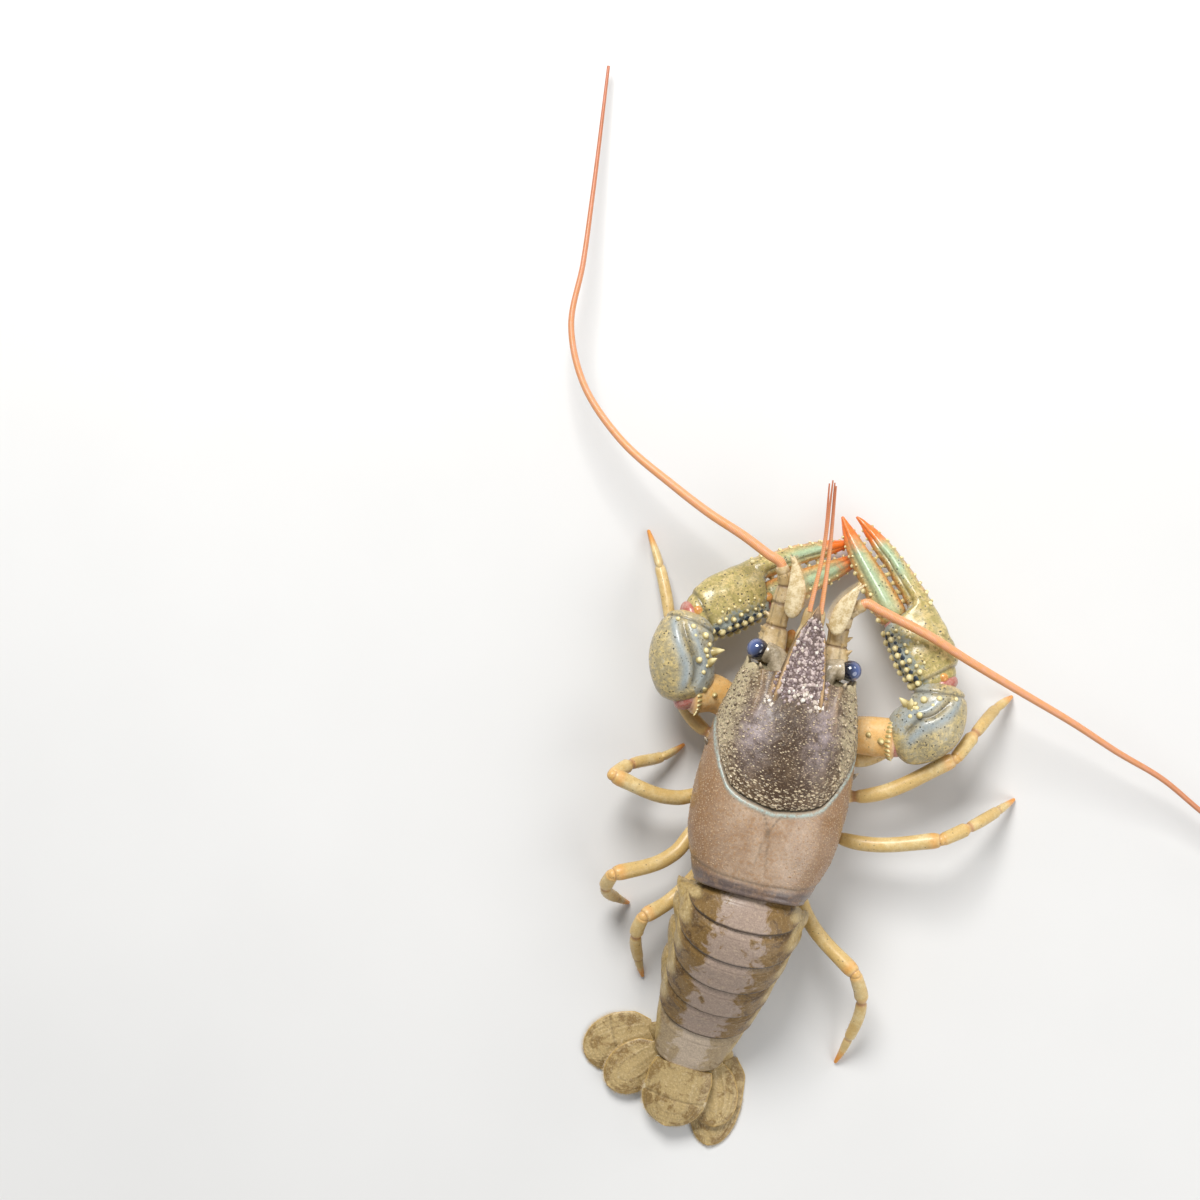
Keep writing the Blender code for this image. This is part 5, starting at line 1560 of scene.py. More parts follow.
    def blades(self, index: int) -> list[Patch]:
        """Make the two pairs of small blades below one segment, swept forward.

        Args:
            index: The segment's number.

        Returns:
            The patches.
        """
        length, at = self.blade_length[index], np.array([index + 0.55])
        top, back, side, up = (v[0] for v in self.frame(at))
        made = []
        for sign in (-1, 1):
            root = top + sign * self.blade_x * side - (curve(range(7), self.height, at) - 0.6) * up
            stem = root - 1.2 * up
            made.append(limb(Tube((root, stem), (0.6, 0.55), up=side), 16, 12, (0.1, 0.3)))
            for spread in (-0.35, 0.55):
                tip = root - (length + 0.6) * up - 0.45 * length * back + sign * spread * side
                blade = Tube((stem, (stem + tip) / 2 + 0.2 * sign * spread * side, tip),
                    (0.35, 0.8, 0.3), (0.3, 0.28, 0.15), up=side)
                made.append(limb(blade, 26, 12, (0.15, 0.25)))
        return made

    def fringe(self, index: int, rings: Array) -> Patch:
        """Make the short hairs along the lower edge of a segment's side flaps.

        Args:
            index: The segment's number.
            rings: Its rings.

        Returns:
            The hairs.
        """
        half = self.sides // 2
        tip = int(self.stops[2] * half)
        rows = np.linspace(18, 56, 30).astype(int)
        roots = rings[rows][:, (half + tip, half - 1 - tip)].reshape(-1, 3)
        _, back, _, up = (v[0] for v in self.frame(np.array([index + 0.6])))
        rng = np.random.default_rng(SEED + 40 + index)
        ways = -up + 0.5 * back + rng.normal(size=roots.shape) * 0.2
        share = np.repeat(rows / 80, 2), np.tile((0.2, 0.7), 30) + index * 0.04
        return hairs(roots, ways, rng.uniform(0.5, 0.9, len(roots)), share)

    def build(self) -> list[Piece]:
        """Make the six segments, the blades below and the fringes.

        Returns:
            The pieces.
        """
        pieces, fringes, blades = [], [], []
        for index in range(6):
            rings, marks = self.ring_shell(index)
            pieces.append(Piece(f"abdomen_ring_{index + 1}", [closed_tube(rings, marks)],
                Paint.TAIL if index < 5 else Paint.TAIL_END, "tail", (f"abdomen_{index + 1}",)))
            if self.blade_length[index]:
                blades += self.blades(index)
                fringes.append(self.fringe(index, rings))
        return pieces + [Piece("belly_blades", blades, Paint.UNDER, "underside"),
            Piece("abdomen_fringe", fringes, Paint.HAIR, "tail")]


@dataclass
class TailFan:
    """Telson and four side blades, thin ribbed plates with a hair fringe behind.

    A plate's row holds its name, root, tip, half widths, thickness, crown and, for a side blade,
    the place on the last ring where its stem starts.
    """

    plates: Sequence[tuple] = (
        ("telson", (-2.62, -32.75, 4.6), (-3.4, -43.6, 3.1), (4.9, 5.5, 5.5), 1.2, 0.4, None),
        ("uropod_inner_l", (-7.2, -31.6, 1.8), (-14.3, -39.6, 1.7), (1.8, 3.6, 4.2), 0.8, 0.2,
         (-5.6, -29.6, 3.9)),
        ("uropod_inner_r", (2.4, -31.9, 1.8), (4.9, -42.3, 1.7), (1.8, 3.4, 4.1), 0.8, 0.2,
         (1.7, -29.6, 4)),
        ("uropod_outer_l", (-8.6, -29, 0.4), (-19.3, -35.4, 0.4), (2, 4.2, 4.9), 0.8, 0.2,
         (-6.2, -27.2, 3.9)),
        ("uropod_outer_r", (4.2, -30.3, 0.4), (4.6, -45.9, 0.4), (2, 4, 4.3), 0.8, 0.2,
         (3, -28.2, 4.2)))
    spines: Rows = ((0.52, -5.15), (0.52, 5.15), (0.52, -4.2), (0.52, 4.2))
    suture: float = 0.56

    def half_width(self, widths: Row, t: Array) -> Array:
        """Return the half width: it widens over the first half and ends in a superellipse."""
        grown = curve((0, 0.2, 0.5, 1), (*widths, widths[2]), t)
        return grown * np.clip(1 - np.clip((t - 0.45) / 0.55, 0, 1) ** 2.3, 1e-4, 1) ** 0.5

    def plate(self, root: Array, tip: Array, widths: Row,
            thickness: float, crown: float, sutured: bool) -> tuple[Array, Marks, Array, Array]:
        """Return rings, marks, rim points and rim directions of one plate.

        Across the plate runs half width times a power wave of cosine, and up from its middle
        level half the thickness times a power wave of sine, plus a crown that falls off to the
        edges. A middle rib, two side ribs, fine rays and a cross seam are bells on the upper face.

        Args:
            root: Middle of the root.
            tip: Middle of the rear end.
            widths: Half widths at the root, near it and at the widest place.
            thickness: Thickness of the plate.
            crown: Height of the crown.
            sutured: Whether a cross seam parts the rear end.

        Returns:
            Rings, marks, points along the rim and directions out of the plate there.
        """
        long, axis = float(np.linalg.norm(tip - root)), unit(tip - root)
        side = unit(np.cross(axis, (0, 0, 1)))
        up = np.cross(side, axis)
        t = (1 - (1 - np.linspace(0, 1, 76)) ** 1.35)[:, None]
        half, turn = self.half_width(widths, t), turns(150)
        part, upper = power_wave(np.cos(turn), 2.6), np.sin(turn) > 0
        thick = thickness * (1 + (0.8 if thickness > 1 else 0) * (1 - t) ** 3)
        thick = thick * (1 - 0.45 * rise(t, 0.6, 1))
        seam = t + 0.05 * part ** 2
        ribs = (0.18 * hill(part, 0, 0.06) * rise(t, 0.02, 0.1) * rise(t, 0.95, 0.7)
            + 0.1 * hill(np.abs(part), 0.42, 0.045) * rise(t, 0.05, 0.2) * rise(t, 0.85, 0.6)
            + 0.03 * np.sin(part * 46) * rise(t, 0.45, 0.75)
            - 0.12 * sutured * hill(seam, self.suture, 0.016))
        z = (thick / 2 * power_wave(np.sin(turn), 3.5)
            + np.where(upper, crown * (1 - part ** 2) + ribs * (1 - part ** 8), 0))
        rings = (root
            + (t * long)[..., None] * axis + (half * part)[..., None] * side + z[..., None] * up)
        beside, behind = half * (1 - np.abs(part)), (1 - t) * long
        inward = (np.maximum(beside, 1e-3) ** -3 + np.maximum(behind, 1e-3) ** -3) ** (-1 / 3)
        lines = sum(hill(inward, k, 0.12) for k in (0.8, 1.5, 2.3)) * rise(t, 0.15, 0.35)
        marks = {Mark.SIDE: np.where(upper, 0.28 + 0.3 * np.abs(part), 1.4),
                 Mark.RIM: rise(inward, 0.35, 0.05),
                 Mark.GUTTER: np.clip(
                     0.22 * lines + 0.35 * sutured * hill(seam, self.suture, 0.014), 0, 1)}
        share = np.linspace(0.42, 1, 120)[:, None]
        middle, wide = root + share * long * axis, self.half_width(widths, share) * side
        rim = np.concatenate((middle + wide, (middle - wide)[::-1]))
        steps = np.append(0, np.cumsum(np.linalg.norm(np.diff(rim, axis=0), axis=1)))
        even = np.linspace(0, steps[-1], 260)
        rim = grid(*(np.interp(even, steps, line) for line in rim.T))
        out = unit(np.cross(up, np.gradient(rim, axis=0)))
        out = out * np.sign((out * (rim - rim.mean(axis=0))).sum())
        return rings, marks, rim, unit(out + 0.35 * axis)

    def build(self) -> list[Piece]:
        """Make the five plates, their short roots, the telson's spines and the fringe.

        Returns:
            The pieces.
        """
        pieces, fringes = [], []
        rng = np.random.default_rng(SEED + 60)
        for number, (name, root, tip, widths, thickness, crown, socket) in enumerate(self.plates):
            root, tip = np.array(root), np.array(tip)
            way = unit(tip - root)
            rings, marks, rim, out = self.plate(
                root, tip, widths, thickness, crown, "inner" not in name)
            patches = [closed_tube(rings, marks)]
            if socket is None:
                side = unit(np.cross(way, (0, 0, 1)))
                along, beside = np.array(self.spines).T[..., None]
                spines = studs(root + along * (tip - root) + beside * side,
                    way + 0.024 * beside * side, 0.42, 1.35, StudForm.SPINE, 12)
                spines.marks = {Mark.RIM: 0.7 * spines.marks[Mark.CROWN]}
                patches.append(spines)
            else:
                start = root + 0.8 * way
                stem = Tube((socket, (start + socket) / 2 + (0, 0, 0.25), start),
                    (1, 1.5, 1.6), (0.8, 0.7, 0.5))
                patches.append(limb(stem, 30, 24, (0.1, 0.25), marks=lambda s, a: {Mark.SIDE: 0.4}))
            share = np.linspace(0.02, 0.98, len(rim)), 0.1 + number * 0.18
            ways = out + rng.normal(size=rim.shape) * (0.12, 0.12, 0.06)
            fringes.append(
                hairs(rim - 0.15 * out, ways, rng.uniform(0.3, 0.7, len(rim)), share, 0.03))
            pieces.append(Piece(f"{name}_plate", patches, Paint.FAN, "tail", (name,)))
        return pieces + [Piece("tail_fringe", fringes, Paint.HAIR, "tail")]


def sided(tag: str, name: str, patches: list[Patch], paint: Paint, slot: str, *nodes: str) -> Piece:
    """Return a piece of one side; its name and its nodes' names end in the side's letter."""
    return Piece(f"{name}_{tag}", patches, paint, slot, tuple(f"{node}_{tag}" for node in nodes))


@dataclass
class Cheliped:
    """One big claw with its arm: ischium, merus, wrist, hand with fixed finger, and dactyl.

    Rows of beads on the hand hold angle, first and last place, count and radius; between beads
    larger than spotted lie dark spots. Spines hold place, angle, radius and height.
    """

    tag: str
    base: Row
    heading: float
    pitch: float
    root: Rows
    arm: Rows
    wrist: Rows
    root_radius: Row = (2.1, 2.2, 2.3)
    arm_width: Row = (2.4, 3.2, 3.4)
    arm_height: Row = (2.2, 2.6, 2.9)
    wrist_width: Row = (3.3, 5, 5.4, 4.9, 3.4)
    wrist_height: Row = (2.8, 3.8, 4.2, 3.9, 2.9)
    outer_s: Row = (-1.2, 0, 2, 5, 9, 14, 20, 27, 30.4, 31.1)
    outer: Row = (1.9, 3.2, 4.7, 5.4, 5.5, 5.4, 4.8, 3.25, 1.75, 1.3)
    inner_s: Row = (-1.2, 0, 2, 5, 9, 11.2, 11.9, 12.4, 12.9, 13.8, 20, 27, 31.1)
    inner: Row = (-1.9, -3.2, -4.3, -4.7, -4.5, -4.1, -3.6, -1.7, 0.5, 1.45, 1.4, 0.95, 0.95)
    high_s: Row = (-1.2, 0, 2, 5, 9, 12, 14, 20, 27, 31.1)
    high: Row = (1.2, 2.4, 3.1, 3.4, 3.3, 2.75, 2.45, 1.9, 1.25, 0.22)
    dactyl_s: Row = (11.9, 12.6, 14.5, 21, 28, 32.3)
    dactyl_offset: Row = (-1.4, -1.42, -1.5, -1.55, -1.45, -1)
    dactyl_width: Row = (2, 2.4, 2.55, 2.2, 1.35, 0.22)
    dactyl_height: Row = (1.6, 2.1, 2.35, 1.85, 1.2, 0.22)
    hand_rows: Rows = ((175, 1.4, 11.2, 8, 0.64),
        (147, 1.2, 10.8, 8, 0.54), (122, 2.4, 10.4, 7, 0.4), (100, 3.4, 9.4, 6, 0.28))
    fixed_rows: Rows = ((180, 14.6, 28.6, 9, 0.44),
        (35, 12, 27, 9, 0.36), (5, 12.5, 28.5, 10, 0.34))
    dactyl_rows: Rows = ((0, 0.24, 0.86, 9, 0.42),
        (165, 0.1, 0.84, 10, 0.52), (130, 0.1, 0.66, 7, 0.42))
    spotted: float = 0.45
    collar: float = 0.84
    wrist_spines: Rows = ((0.4, 150, 0.75, 1.6),
        (0.62, 165, 0.85, 2), (0.75, 125, 0.6, 0.7), (0.78, 95, 0.5, 0.5),
        (0.45, 122, 0.5, 0.5), (0.58, 135, 0.5, 0.5), (0.3, 128, 0.4, 0.4), (0.5, 140, 0.35, 0.4),
        (0.68, 142, 0.4, 0.4), (0.36, 138, 0.3, 0.35), (0.8, 60, 0.4, 0.4), (0.7, 105, 0.35, 0.35))
    arm_spines: Rows = ((0.6, 95, 0.5, 0.9),
        (0.78, 80, 0.6, 1.2), (0.35, 250, 0.5, 0.9), (0.6, 250, 0.6, 1.1))

    def __post_init__(self) -> None:
        """Work out the hand's own directions: along it, out to the fixed finger, and up."""
        heading, pitch = math.radians(self.heading), math.radians(self.pitch)
        self.sign = SIDE[self.tag]
        self.along = np.array((math.cos(heading) * math.cos(pitch),
            math.sin(heading) * math.cos(pitch), -math.sin(pitch)))
        self.out = self.sign * unit(np.cross(self.along, (0, 0, 1)))
        self.up = unit(np.cross(self.out, self.along)) * self.sign

    def place(self, along: Array, out: Array, up: Array = 0) -> Array:
        """Return points for places in the hand's own frame."""
        return self.base + grid(along, out, up) @ np.array((self.along, self.out, self.up))

    def turn(self, degrees: Array) -> Array:
        """Return an angle round a tube, counted from its outer side on either claw."""
        return degrees if self.sign > 0 else 180 - np.asarray(degrees)

    def hand(self, s: Array, angle: Array) -> Array:
        """Find points of the hand: between its inner and outer edge across, half height up.

        Args:
            s: Places along the hand.
            angle: Angles round it.

        Returns:
            The points.
        """
        outer, inner = curve(self.outer_s, self.outer, s), curve(self.inner_s, self.inner, s)
        beside = (outer + inner) / 2 + (outer - inner) / 2 * power_wave(np.cos(angle), 2.2)
        above = curve(self.high_s, self.high, s) * power_wave(np.sin(angle), 2.2)
        return self.place(s, beside, above)

    def hand_spots(self, s: Array, degrees: Array) -> tuple[Array, Array]:
        """Return points of the hand and their outward directions."""
        point, way = surface_spots(self.hand, s, np.radians(degrees), 0.01)
        return point, -self.sign * way

    def hand_patch(self) -> Patch:
        """Make the palm with the fixed finger: low ridges run along the finger's top.

        Returns:
            The patch.
        """
        s = stations((-1.2, 11, 70), (11, 14, 44), (14, 31.1, 84))
        angle, degrees = turns(96), np.degrees(turns(96))
        rings, finger = self.hand(s, angle), rise(s, 12.5, 15)
        relief = (finger * (0.16 * hill(degrees, 90, 12) - 0.2 * hill(degrees, 118, 9)
                            - 0.16 * hill(degrees, 60, 9)) * rise(s, 30, 24)
                  - 0.25 * hill(s, 0.9, 0.4) + 0.15 * hill(s, -0.2, 0.6)
                  - 0.18 * hill(degrees, 128, 7) * (1 - finger) * rise(s, 1.5, 4)
                  + 0.12 * ripple(rings, SEED + 70, 4) * rise(s, -1, 1.5))
        inside = rise(-np.cos(angle), 0, 0.8) * rise(np.sin(angle), -0.5, 0.1)
        return closed_tube(swollen(rings, relief), {
            Mark.ALONG: rise(s, 13, 31), Mark.SIDE: inside * (1 - finger),
            Mark.CROWN: hill(degrees, 90, 30) * finger,
            Mark.RIM: 0.5 * finger * (hill(degrees, 20, 22) + hill(degrees, 160, 22)),
            # Painted shade in the pinch at the hand's root and in the groove beside the finger's
            # ridge.
            Mark.GUTTER: 0.8 * hill(s, 0.9, 0.3) + finger * 0.6 * hill(degrees, 118, 7)})

    def dactyl(self) -> Tube:
        """Lay out the movable finger's line, timed by its length.

        Returns:
            The tube.
        """
        steps = np.hypot(np.diff(self.dactyl_s), np.diff(self.dactyl_offset))
        knots = np.append(0, np.cumsum(steps)) / steps.sum()
        return Tube(self.place(self.dactyl_s, self.dactyl_offset),
            self.dactyl_width, self.dactyl_height, self.up, knots)

    def rows(self, rows: Rows, spot: Callable,
            seed: int, taper: float, scale: float) -> tuple[list[Patch], list[Patch]]:
        """Return beads in rows, and the flat dark spots that stand between them.

        Args:
            rows: Angle, first and last place, count and radius of each row.
            spot: Gives points and directions for places and angles.
            seed: Seed of the small differences.
            taper: Share by which beads shrink to the row's end.
            scale: Length of the limb in the unit of the places, for the shifts.

        Returns:
            The beads and the spots.
        """
        rng = np.random.default_rng(seed)
        beads, spots = [], []
        for degrees, first, last, count, size in rows:
            place = np.linspace(first, last, count) + rng.uniform(-0.012, 0.012, count) * scale
            point, out = spot(place, degrees + rng.uniform(-5, 5, count))
            radius = size * (1.1 - taper * np.linspace(0, 1, count))
            radius = radius * rng.uniform(0.75, 1.15, count)
            beads.append(studs(point, out + 0.3 * self.along, radius, 1.05 * radius, sides=14))
            if size > self.spotted:
                point, out = spot((place[1:] + place[:-1]) / 2, degrees - 8)
                radius = radius[1:] * rng.uniform(0.6, 0.9, count - 1)
                spots.append(studs(point, out, radius, 0.1, sides=12, uneven=0.12))
        return beads, spots

    def segments(self) -> list[Piece]:
        """Make ischium, merus and wrist.

        Returns:
            The pieces.
        """
        root = Tube(stretched(self.root, 0.3, 0.8), self.root_radius)
        arm = Tube(stretched(self.arm, 0.8, 1.6), self.arm_width, self.arm_height)
        wrist = Tube(stretched(self.wrist, 1.3, 1.2), self.wrist_width, self.wrist_height)
        point, out = arm.spots(0.87, np.linspace(15, 165, 12))
        comb = studs(point, out + 1.3 * arm.frame(0.87)[1], 0.34, 0.7, StudForm.SPINE, 8)

        def bend(s: Array, a: Array) -> Array:
            """Return how many degrees lie between an angle and the wavy groove on the wrist."""
            away = np.degrees(a) - self.turn(92 + 24 * np.sin(TAU * (s - 0.15)))
            return (away + 180) % 360 - 180

        def lips(s: Array, a: Array, far: float, width: float) -> Array:
            """Return the two lips beside the groove."""
            return hill(bend(s, a), far, width) + hill(bend(s, a), -far, width)

        def wrist_shape(s: Array, a: Array) -> Array:
            """Return the wrist's factor: a dorsal groove between two lips, and a collar.

            Args:
                s: Places along the wrist.
                a: Angles round it.

            Returns:
                The factor on the section.
            """
            on = rise(s, 0.12, 0.28) * rise(s, 0.86, 0.7)
            return (1 + on * (0.05 * lips(s, a, 17, 9) - 0.13 * hill(bend(s, a), 0, 7))
                - 0.07 * hill(s, self.collar, 0.02) + 0.02 * np.sin(2 * a + 7 * s))

        arm_patch = limb(
            arm, 70, 64, (0.12, 0.12),
            lambda s, a: (1 + 0.05 * hill(s, 0.87, 0.03) - 0.1 * hill(s, 0.93, 0.02)
                          + 0.02 * np.sin(3 * a) * rise(s, 0.1, 0.3)),
            lambda s, a: {Mark.JOINT: 0.8 * rise(s, 0.9, 0.95),
                          Mark.SIDE: rise(np.sin(a), 0.3, -0.2)})
        wrist_patch = limb(wrist, 100, 96, (0.16, 0.14), wrist_shape, lambda s, a: {
            Mark.GROOVE: lips(s, a, 20, 11) * rise(s, 0.12, 0.25) * rise(s, 0.9, 0.75),
            Mark.SIDE: rise(np.cos(a) * self.sign, 0.1, -0.6),
            # Painted shade in the collar's pinch and along the groove on top.
            Mark.GUTTER: np.maximum(
                0.8 * hill(s, self.collar, 0.015),
                0.9 * hill(bend(s, a), 0, 5) * rise(s, 0.12, 0.25) * rise(s, 0.86, 0.7))})
        ischium = limb(
            root, 30, 40, (0.1, 0.25), marks=lambda s, a: {Mark.JOINT: rise(s, 0.8, 0.95)})
        return [sided(self.tag, "ischium", [ischium], Paint.ARM, "leg", "cheliped_ischium"),
                sided(self.tag, "merus", [arm_patch], Paint.ARM, "leg", "cheliped_merus"),
                sided(self.tag, "merus_teeth", arm.thorns(self.arm_spines, 0.4) + [comb],
                      Paint.BEAD, "cream"),
                sided(self.tag, "wrist", [wrist_patch], Paint.WRIST, "claw", "carpus"),
                sided(self.tag, "wrist_spines",
                      wrist.thorns(self.wrist_spines, 0.35, self.turn, 14), Paint.BEAD, "cream")]

    def build(self) -> list[Piece]:
        """Make the whole cheliped with its beads, spots, joint knobs and joint skins.

        Returns:
            The pieces.
        """
        dactyl = self.dactyl()

        def ridged(s: Array, a: Array) -> Array:
            """Return the finger's factor: a low ridge on top between two grooves.

            Args:
                s: Places along the finger.
                a: Angles round it.

            Returns:
                The factor on the section.
            """
            relief = (0.07 * hill(np.degrees(a), 90, 12)
                - 0.08 * hill(np.degrees(a), 118, 9) - 0.08 * hill(np.degrees(a), 62, 9))
            return 1 + rise(s, 0.05, 0.2) * rise(s, 0.98, 0.8) * relief

        finger = limb(dactyl, 110, 56, (0.07, 0.01), ridged, lambda s, a: {
            Mark.ALONG: 0.12 + 0.88 * s, Mark.CROWN: hill(np.degrees(a), 90, 34),
            Mark.RIM: 0.7 * (hill(np.degrees(a), 25, 22) + hill(np.degrees(a), 155, 22)),
            # Painted shade in the groove beside the finger's ridge.
            Mark.GUTTER: 0.5 * hill(np.degrees(a), 118, 7) * rise(s, 0.1, 0.2)})
        beads, spots = self.rows(self.hand_rows, self.hand_spots, SEED + 80, 0.25, 12)
        more, _ = self.rows(self.fixed_rows, self.hand_spots, SEED + 81, 0.5, 12)
        rows = [(self.turn(row[0]), *row[1:]) for row in self.dactyl_rows]
        teeth, _ = self.rows(rows, dactyl.spots, SEED + 82, 0.55, 1)
        knobs = [studs(self.place(along, out, sense * up), self.up * sense + lean * self.along,
                       radius, height, sides=16)
                 for along, out, up, lean, radius, height in (
                     (12.3, -1.5, 2, 0.3, 0.75, 0.55), (0.1, 0.9, 2.2, 0, 0.8, 0.5))
                 for sense in (1, -1)]
        skins = [ball(self.place(12.2, -1.4), self.along, (2.1, 1.7, 1.3)),
                 ball(self.place(-0.9, 0.1), self.along, (3, 2.4, 1.6)),
                 ball(np.subtract(self.wrist[0], (0, 0.3, 0.2)),
                      np.subtract(self.wrist[1], self.arm[1]), (2.9, 2.5, 1.8))]
        return self.segments() + [sided(self.tag, *row) for row in (
            ("hand", [self.hand_patch()], Paint.CLAW, "claw", "palm"),
            ("finger", [finger], Paint.CLAW, "claw", "dactyl"),
            ("claw_beads", beads + more + teeth, Paint.BEAD, "cream"),
            ("claw_spots", spots, Paint.SPOT, "claw"), ("joint_knobs", knobs, Paint.KNOB, "claw"),
            ("joint_skins", skins, Paint.SOFT, "claw"))]


@dataclass
class WalkingLegs:
    """Eight walking legs; the first two pairs end in small pincers, the others in claws.

    A leg's line has seven places: three up to the knee, the knee, and three down to the tip.
    Joints are places on the upper and on the lower length, where the sections pinch.
    """

    lines: dict[str, Rows] = field(default_factory=lambda: {
        "leg2_r": ((4.6, 23, 7.3), (10.2, 23.2, 7.5), (15.4, 24.4, 7.4), (22.6, 33.6, 6.6),
                   (22.6, 39.5, 5.4), (16.6, 49, 1.6), (14.2, 52, 0.35)),
        "leg3_r": ((4.6, 18.5, 7.3), (10.5, 17.4, 7.6), (16.7, 18.6, 9.6), (28.6, 28, 12),
                   (31.3, 33, 9.6), (35, 38.2, 3.6), (37.4, 40.2, 0.3)),
        "leg4_r": ((4.6, 14, 7.3), (10.5, 11, 7.6), (17.6, 10.6, 9.8), (29.5, 14.4, 12),
                   (34.3, 17.6, 9.2), (40, 21.8, 2.8), (41.8, 23.3, 0.3)),
        "leg5_r": ((4.6, 9.5, 7.3), (7.6, 3.4, 7.5), (11.2, -3.6, 8.6), (20.8, -10.4, 12),
                   (23.6, -15.4, 8.2), (23.2, -24, 2.4), (22.5, -27.3, 0.3)),
        "leg2_l": ((-4.6, 23, 7.3), (-10.2, 22, 7.4), (-15.6, 24.6, 6.7), (-20.6, 32.6, 6.2),
                   (-22.7, 40.6, 5), (-26.6, 49, 2.4), (-29.3, 53.4, 0.3)),
        "leg3_l": ((-4.6, 18.5, 7.3), (-10.2, 12.8, 7.6), (-15.1, 10.6, 9.4), (-25.8, 12.3, 12.2),
                   (-23.4, 14.4, 8.2), (-17.4, 17, 2.6), (-14.9, 19.4, 0.3)),
        "leg4_l": ((-4.6, 14, 7.3), (-9.8, 7.6, 7.5), (-13, 1.2, 9.2), (-22, -3.6, 12.2),
                   (-22.6, -6.8, 8), (-19.4, -8.6, 2.2), (-17.8, -9, 0.3)),
        "leg5_l": ((-4.6, 8.6, 7.3), (-6.9, 1.6, 7.4), (-11.2, -5.8, 8.2), (-15.4, -9.4, 10.8),
                   (-15.9, -12.6, 8.4), (-14, -18, 2.4), (-12.6, -20.6, 0.3))})
    bend: float = 0.9
    upper_joints: Row = (0.172, 0.36)
    lower_joints: Row = (0.31, 0.715)
    upper_s: Row = (
        0, 0.08, 0.13, 0.152, 0.172, 0.195, 0.25, 0.31, 0.337, 0.36, 0.39, 0.5, 0.8, 0.93, 0.98, 1)
    upper: Row = (
        1.35, 1.55, 1.6, 1.2, 1, 1.15, 1.25, 1.35, 1.05, 0.92, 1.12, 1.25, 1.26, 1.34, 1.15, 1)
    lower_s: Row = (0, 0.05, 0.15, 0.25, 0.288, 0.31, 0.34, 0.48, 0.64, 0.69, 0.715, 0.74, 0.88, 1)
    lower: Row = (0.9, 1.1, 1.15, 1.18, 0.88, 0.78, 0.95, 1, 0.95, 0.9, 0.66, 0.74, 0.55, 0.27)
    pincer_span: tuple[float, float] = (0.69, 0.985)
    pincer_lift: float = 0.75
    pincer: Row = (0.5, 0.58, 0.45, 0.2)
    hair_count: int = 70

    def leg(self, name: str, line: Rows) -> tuple[list[Piece], Patch, Patch]:
        """Make one leg.

        Args:
            name: Its name, which ends in the side's letter.
            line: The seven places of its line.

        Returns:
            Its two lengths, its knee skin and its short hairs.
        """
        thigh = Tube(jointed(stretched(line[:4], 0.2, 0.25), self.bend),
            self.upper, knots=self.upper_s)
        shin = Tube(jointed(stretched(line[3:], 0.25, 0), self.bend),
            self.lower, knots=self.lower_s)
        over = limb(thigh, 130, 32, (0.02, 0.035), marks=lambda s, a: {
            Mark.JOINT: sum(hill(s, at, 0.018) for at in self.upper_joints) + rise(s, 0.97, 0.99),
            Mark.TIP: 0.45 * hill(s, 0.945, 0.03) + 0.3 * hill(s, 0.31, 0.02),
            Mark.SIDE: rise(np.sin(a), 0.2, -0.6)})
        near, far = self.lower_joints
        under = [limb(shin, 130, 32, (0.035, 0.012), marks=lambda s, a: {
            Mark.JOINT: hill(s, near, 0.018) + 0.7 * hill(s, far, 0.012),
            Mark.TIP: (rise(s, 0.8, 0.95) + 0.3 * hill(s, 0.02, 0.03)
                       + 0.3 * hill(s, 0.27, 0.02)),
            Mark.SIDE: rise(np.sin(a), 0.2, -0.6)})]
        if name[3] in "23":
            start, end = path_curve(shin.points, self.pincer_span) + (0, 0, self.pincer_lift)
            under.append(limb(Tube((start, (start + end) / 2 + (0, 0, 0.12), end), self.pincer),
                40, 20, (0.12, 0.04), marks=lambda s, a: {Mark.TIP: rise(s, 0.4, 0.9)}))
        knee = ball(line[3], np.subtract(line[3], line[2]), (0.93, 0.93, 0.93))
        knee.marks = {Mark.TIP: 0.3}
        rng = np.random.default_rng(SEED + sum(map(ord, name)))
        place = rng.uniform(0.36, 0.97, self.hair_count)
        point, out = shin.spots(place, rng.uniform(0, 360, self.hair_count))
        share = place, (ord(name[3]) - 49) * 0.18 + SIDE[name[-1]] * 0.04
        hair = hairs(point, out + 0.9 * shin.frame(place)[1],
            rng.uniform(0.2, 0.45, self.hair_count), share, 0.025)
        return ([Piece(f"{name}_thigh", [over], Paint.LEG, "leg", (f"{name}_upper",)),
                 Piece(f"{name}_foot", under, Paint.LEG, "leg", (f"{name}_lower",))], knee, hair)

    def build(self) -> list[Piece]:
        """Make all legs, their knees and hairs.

        Returns:
            The pieces.
        """
        legs, knees, hair = zip(*(self.leg(*item) for item in self.lines.items()))
        return sum(legs, []) + [Piece("knee_skins", knees, Paint.LEG, "leg"),
            Piece("leg_hairs", hair, Paint.HAIR, "leg")]


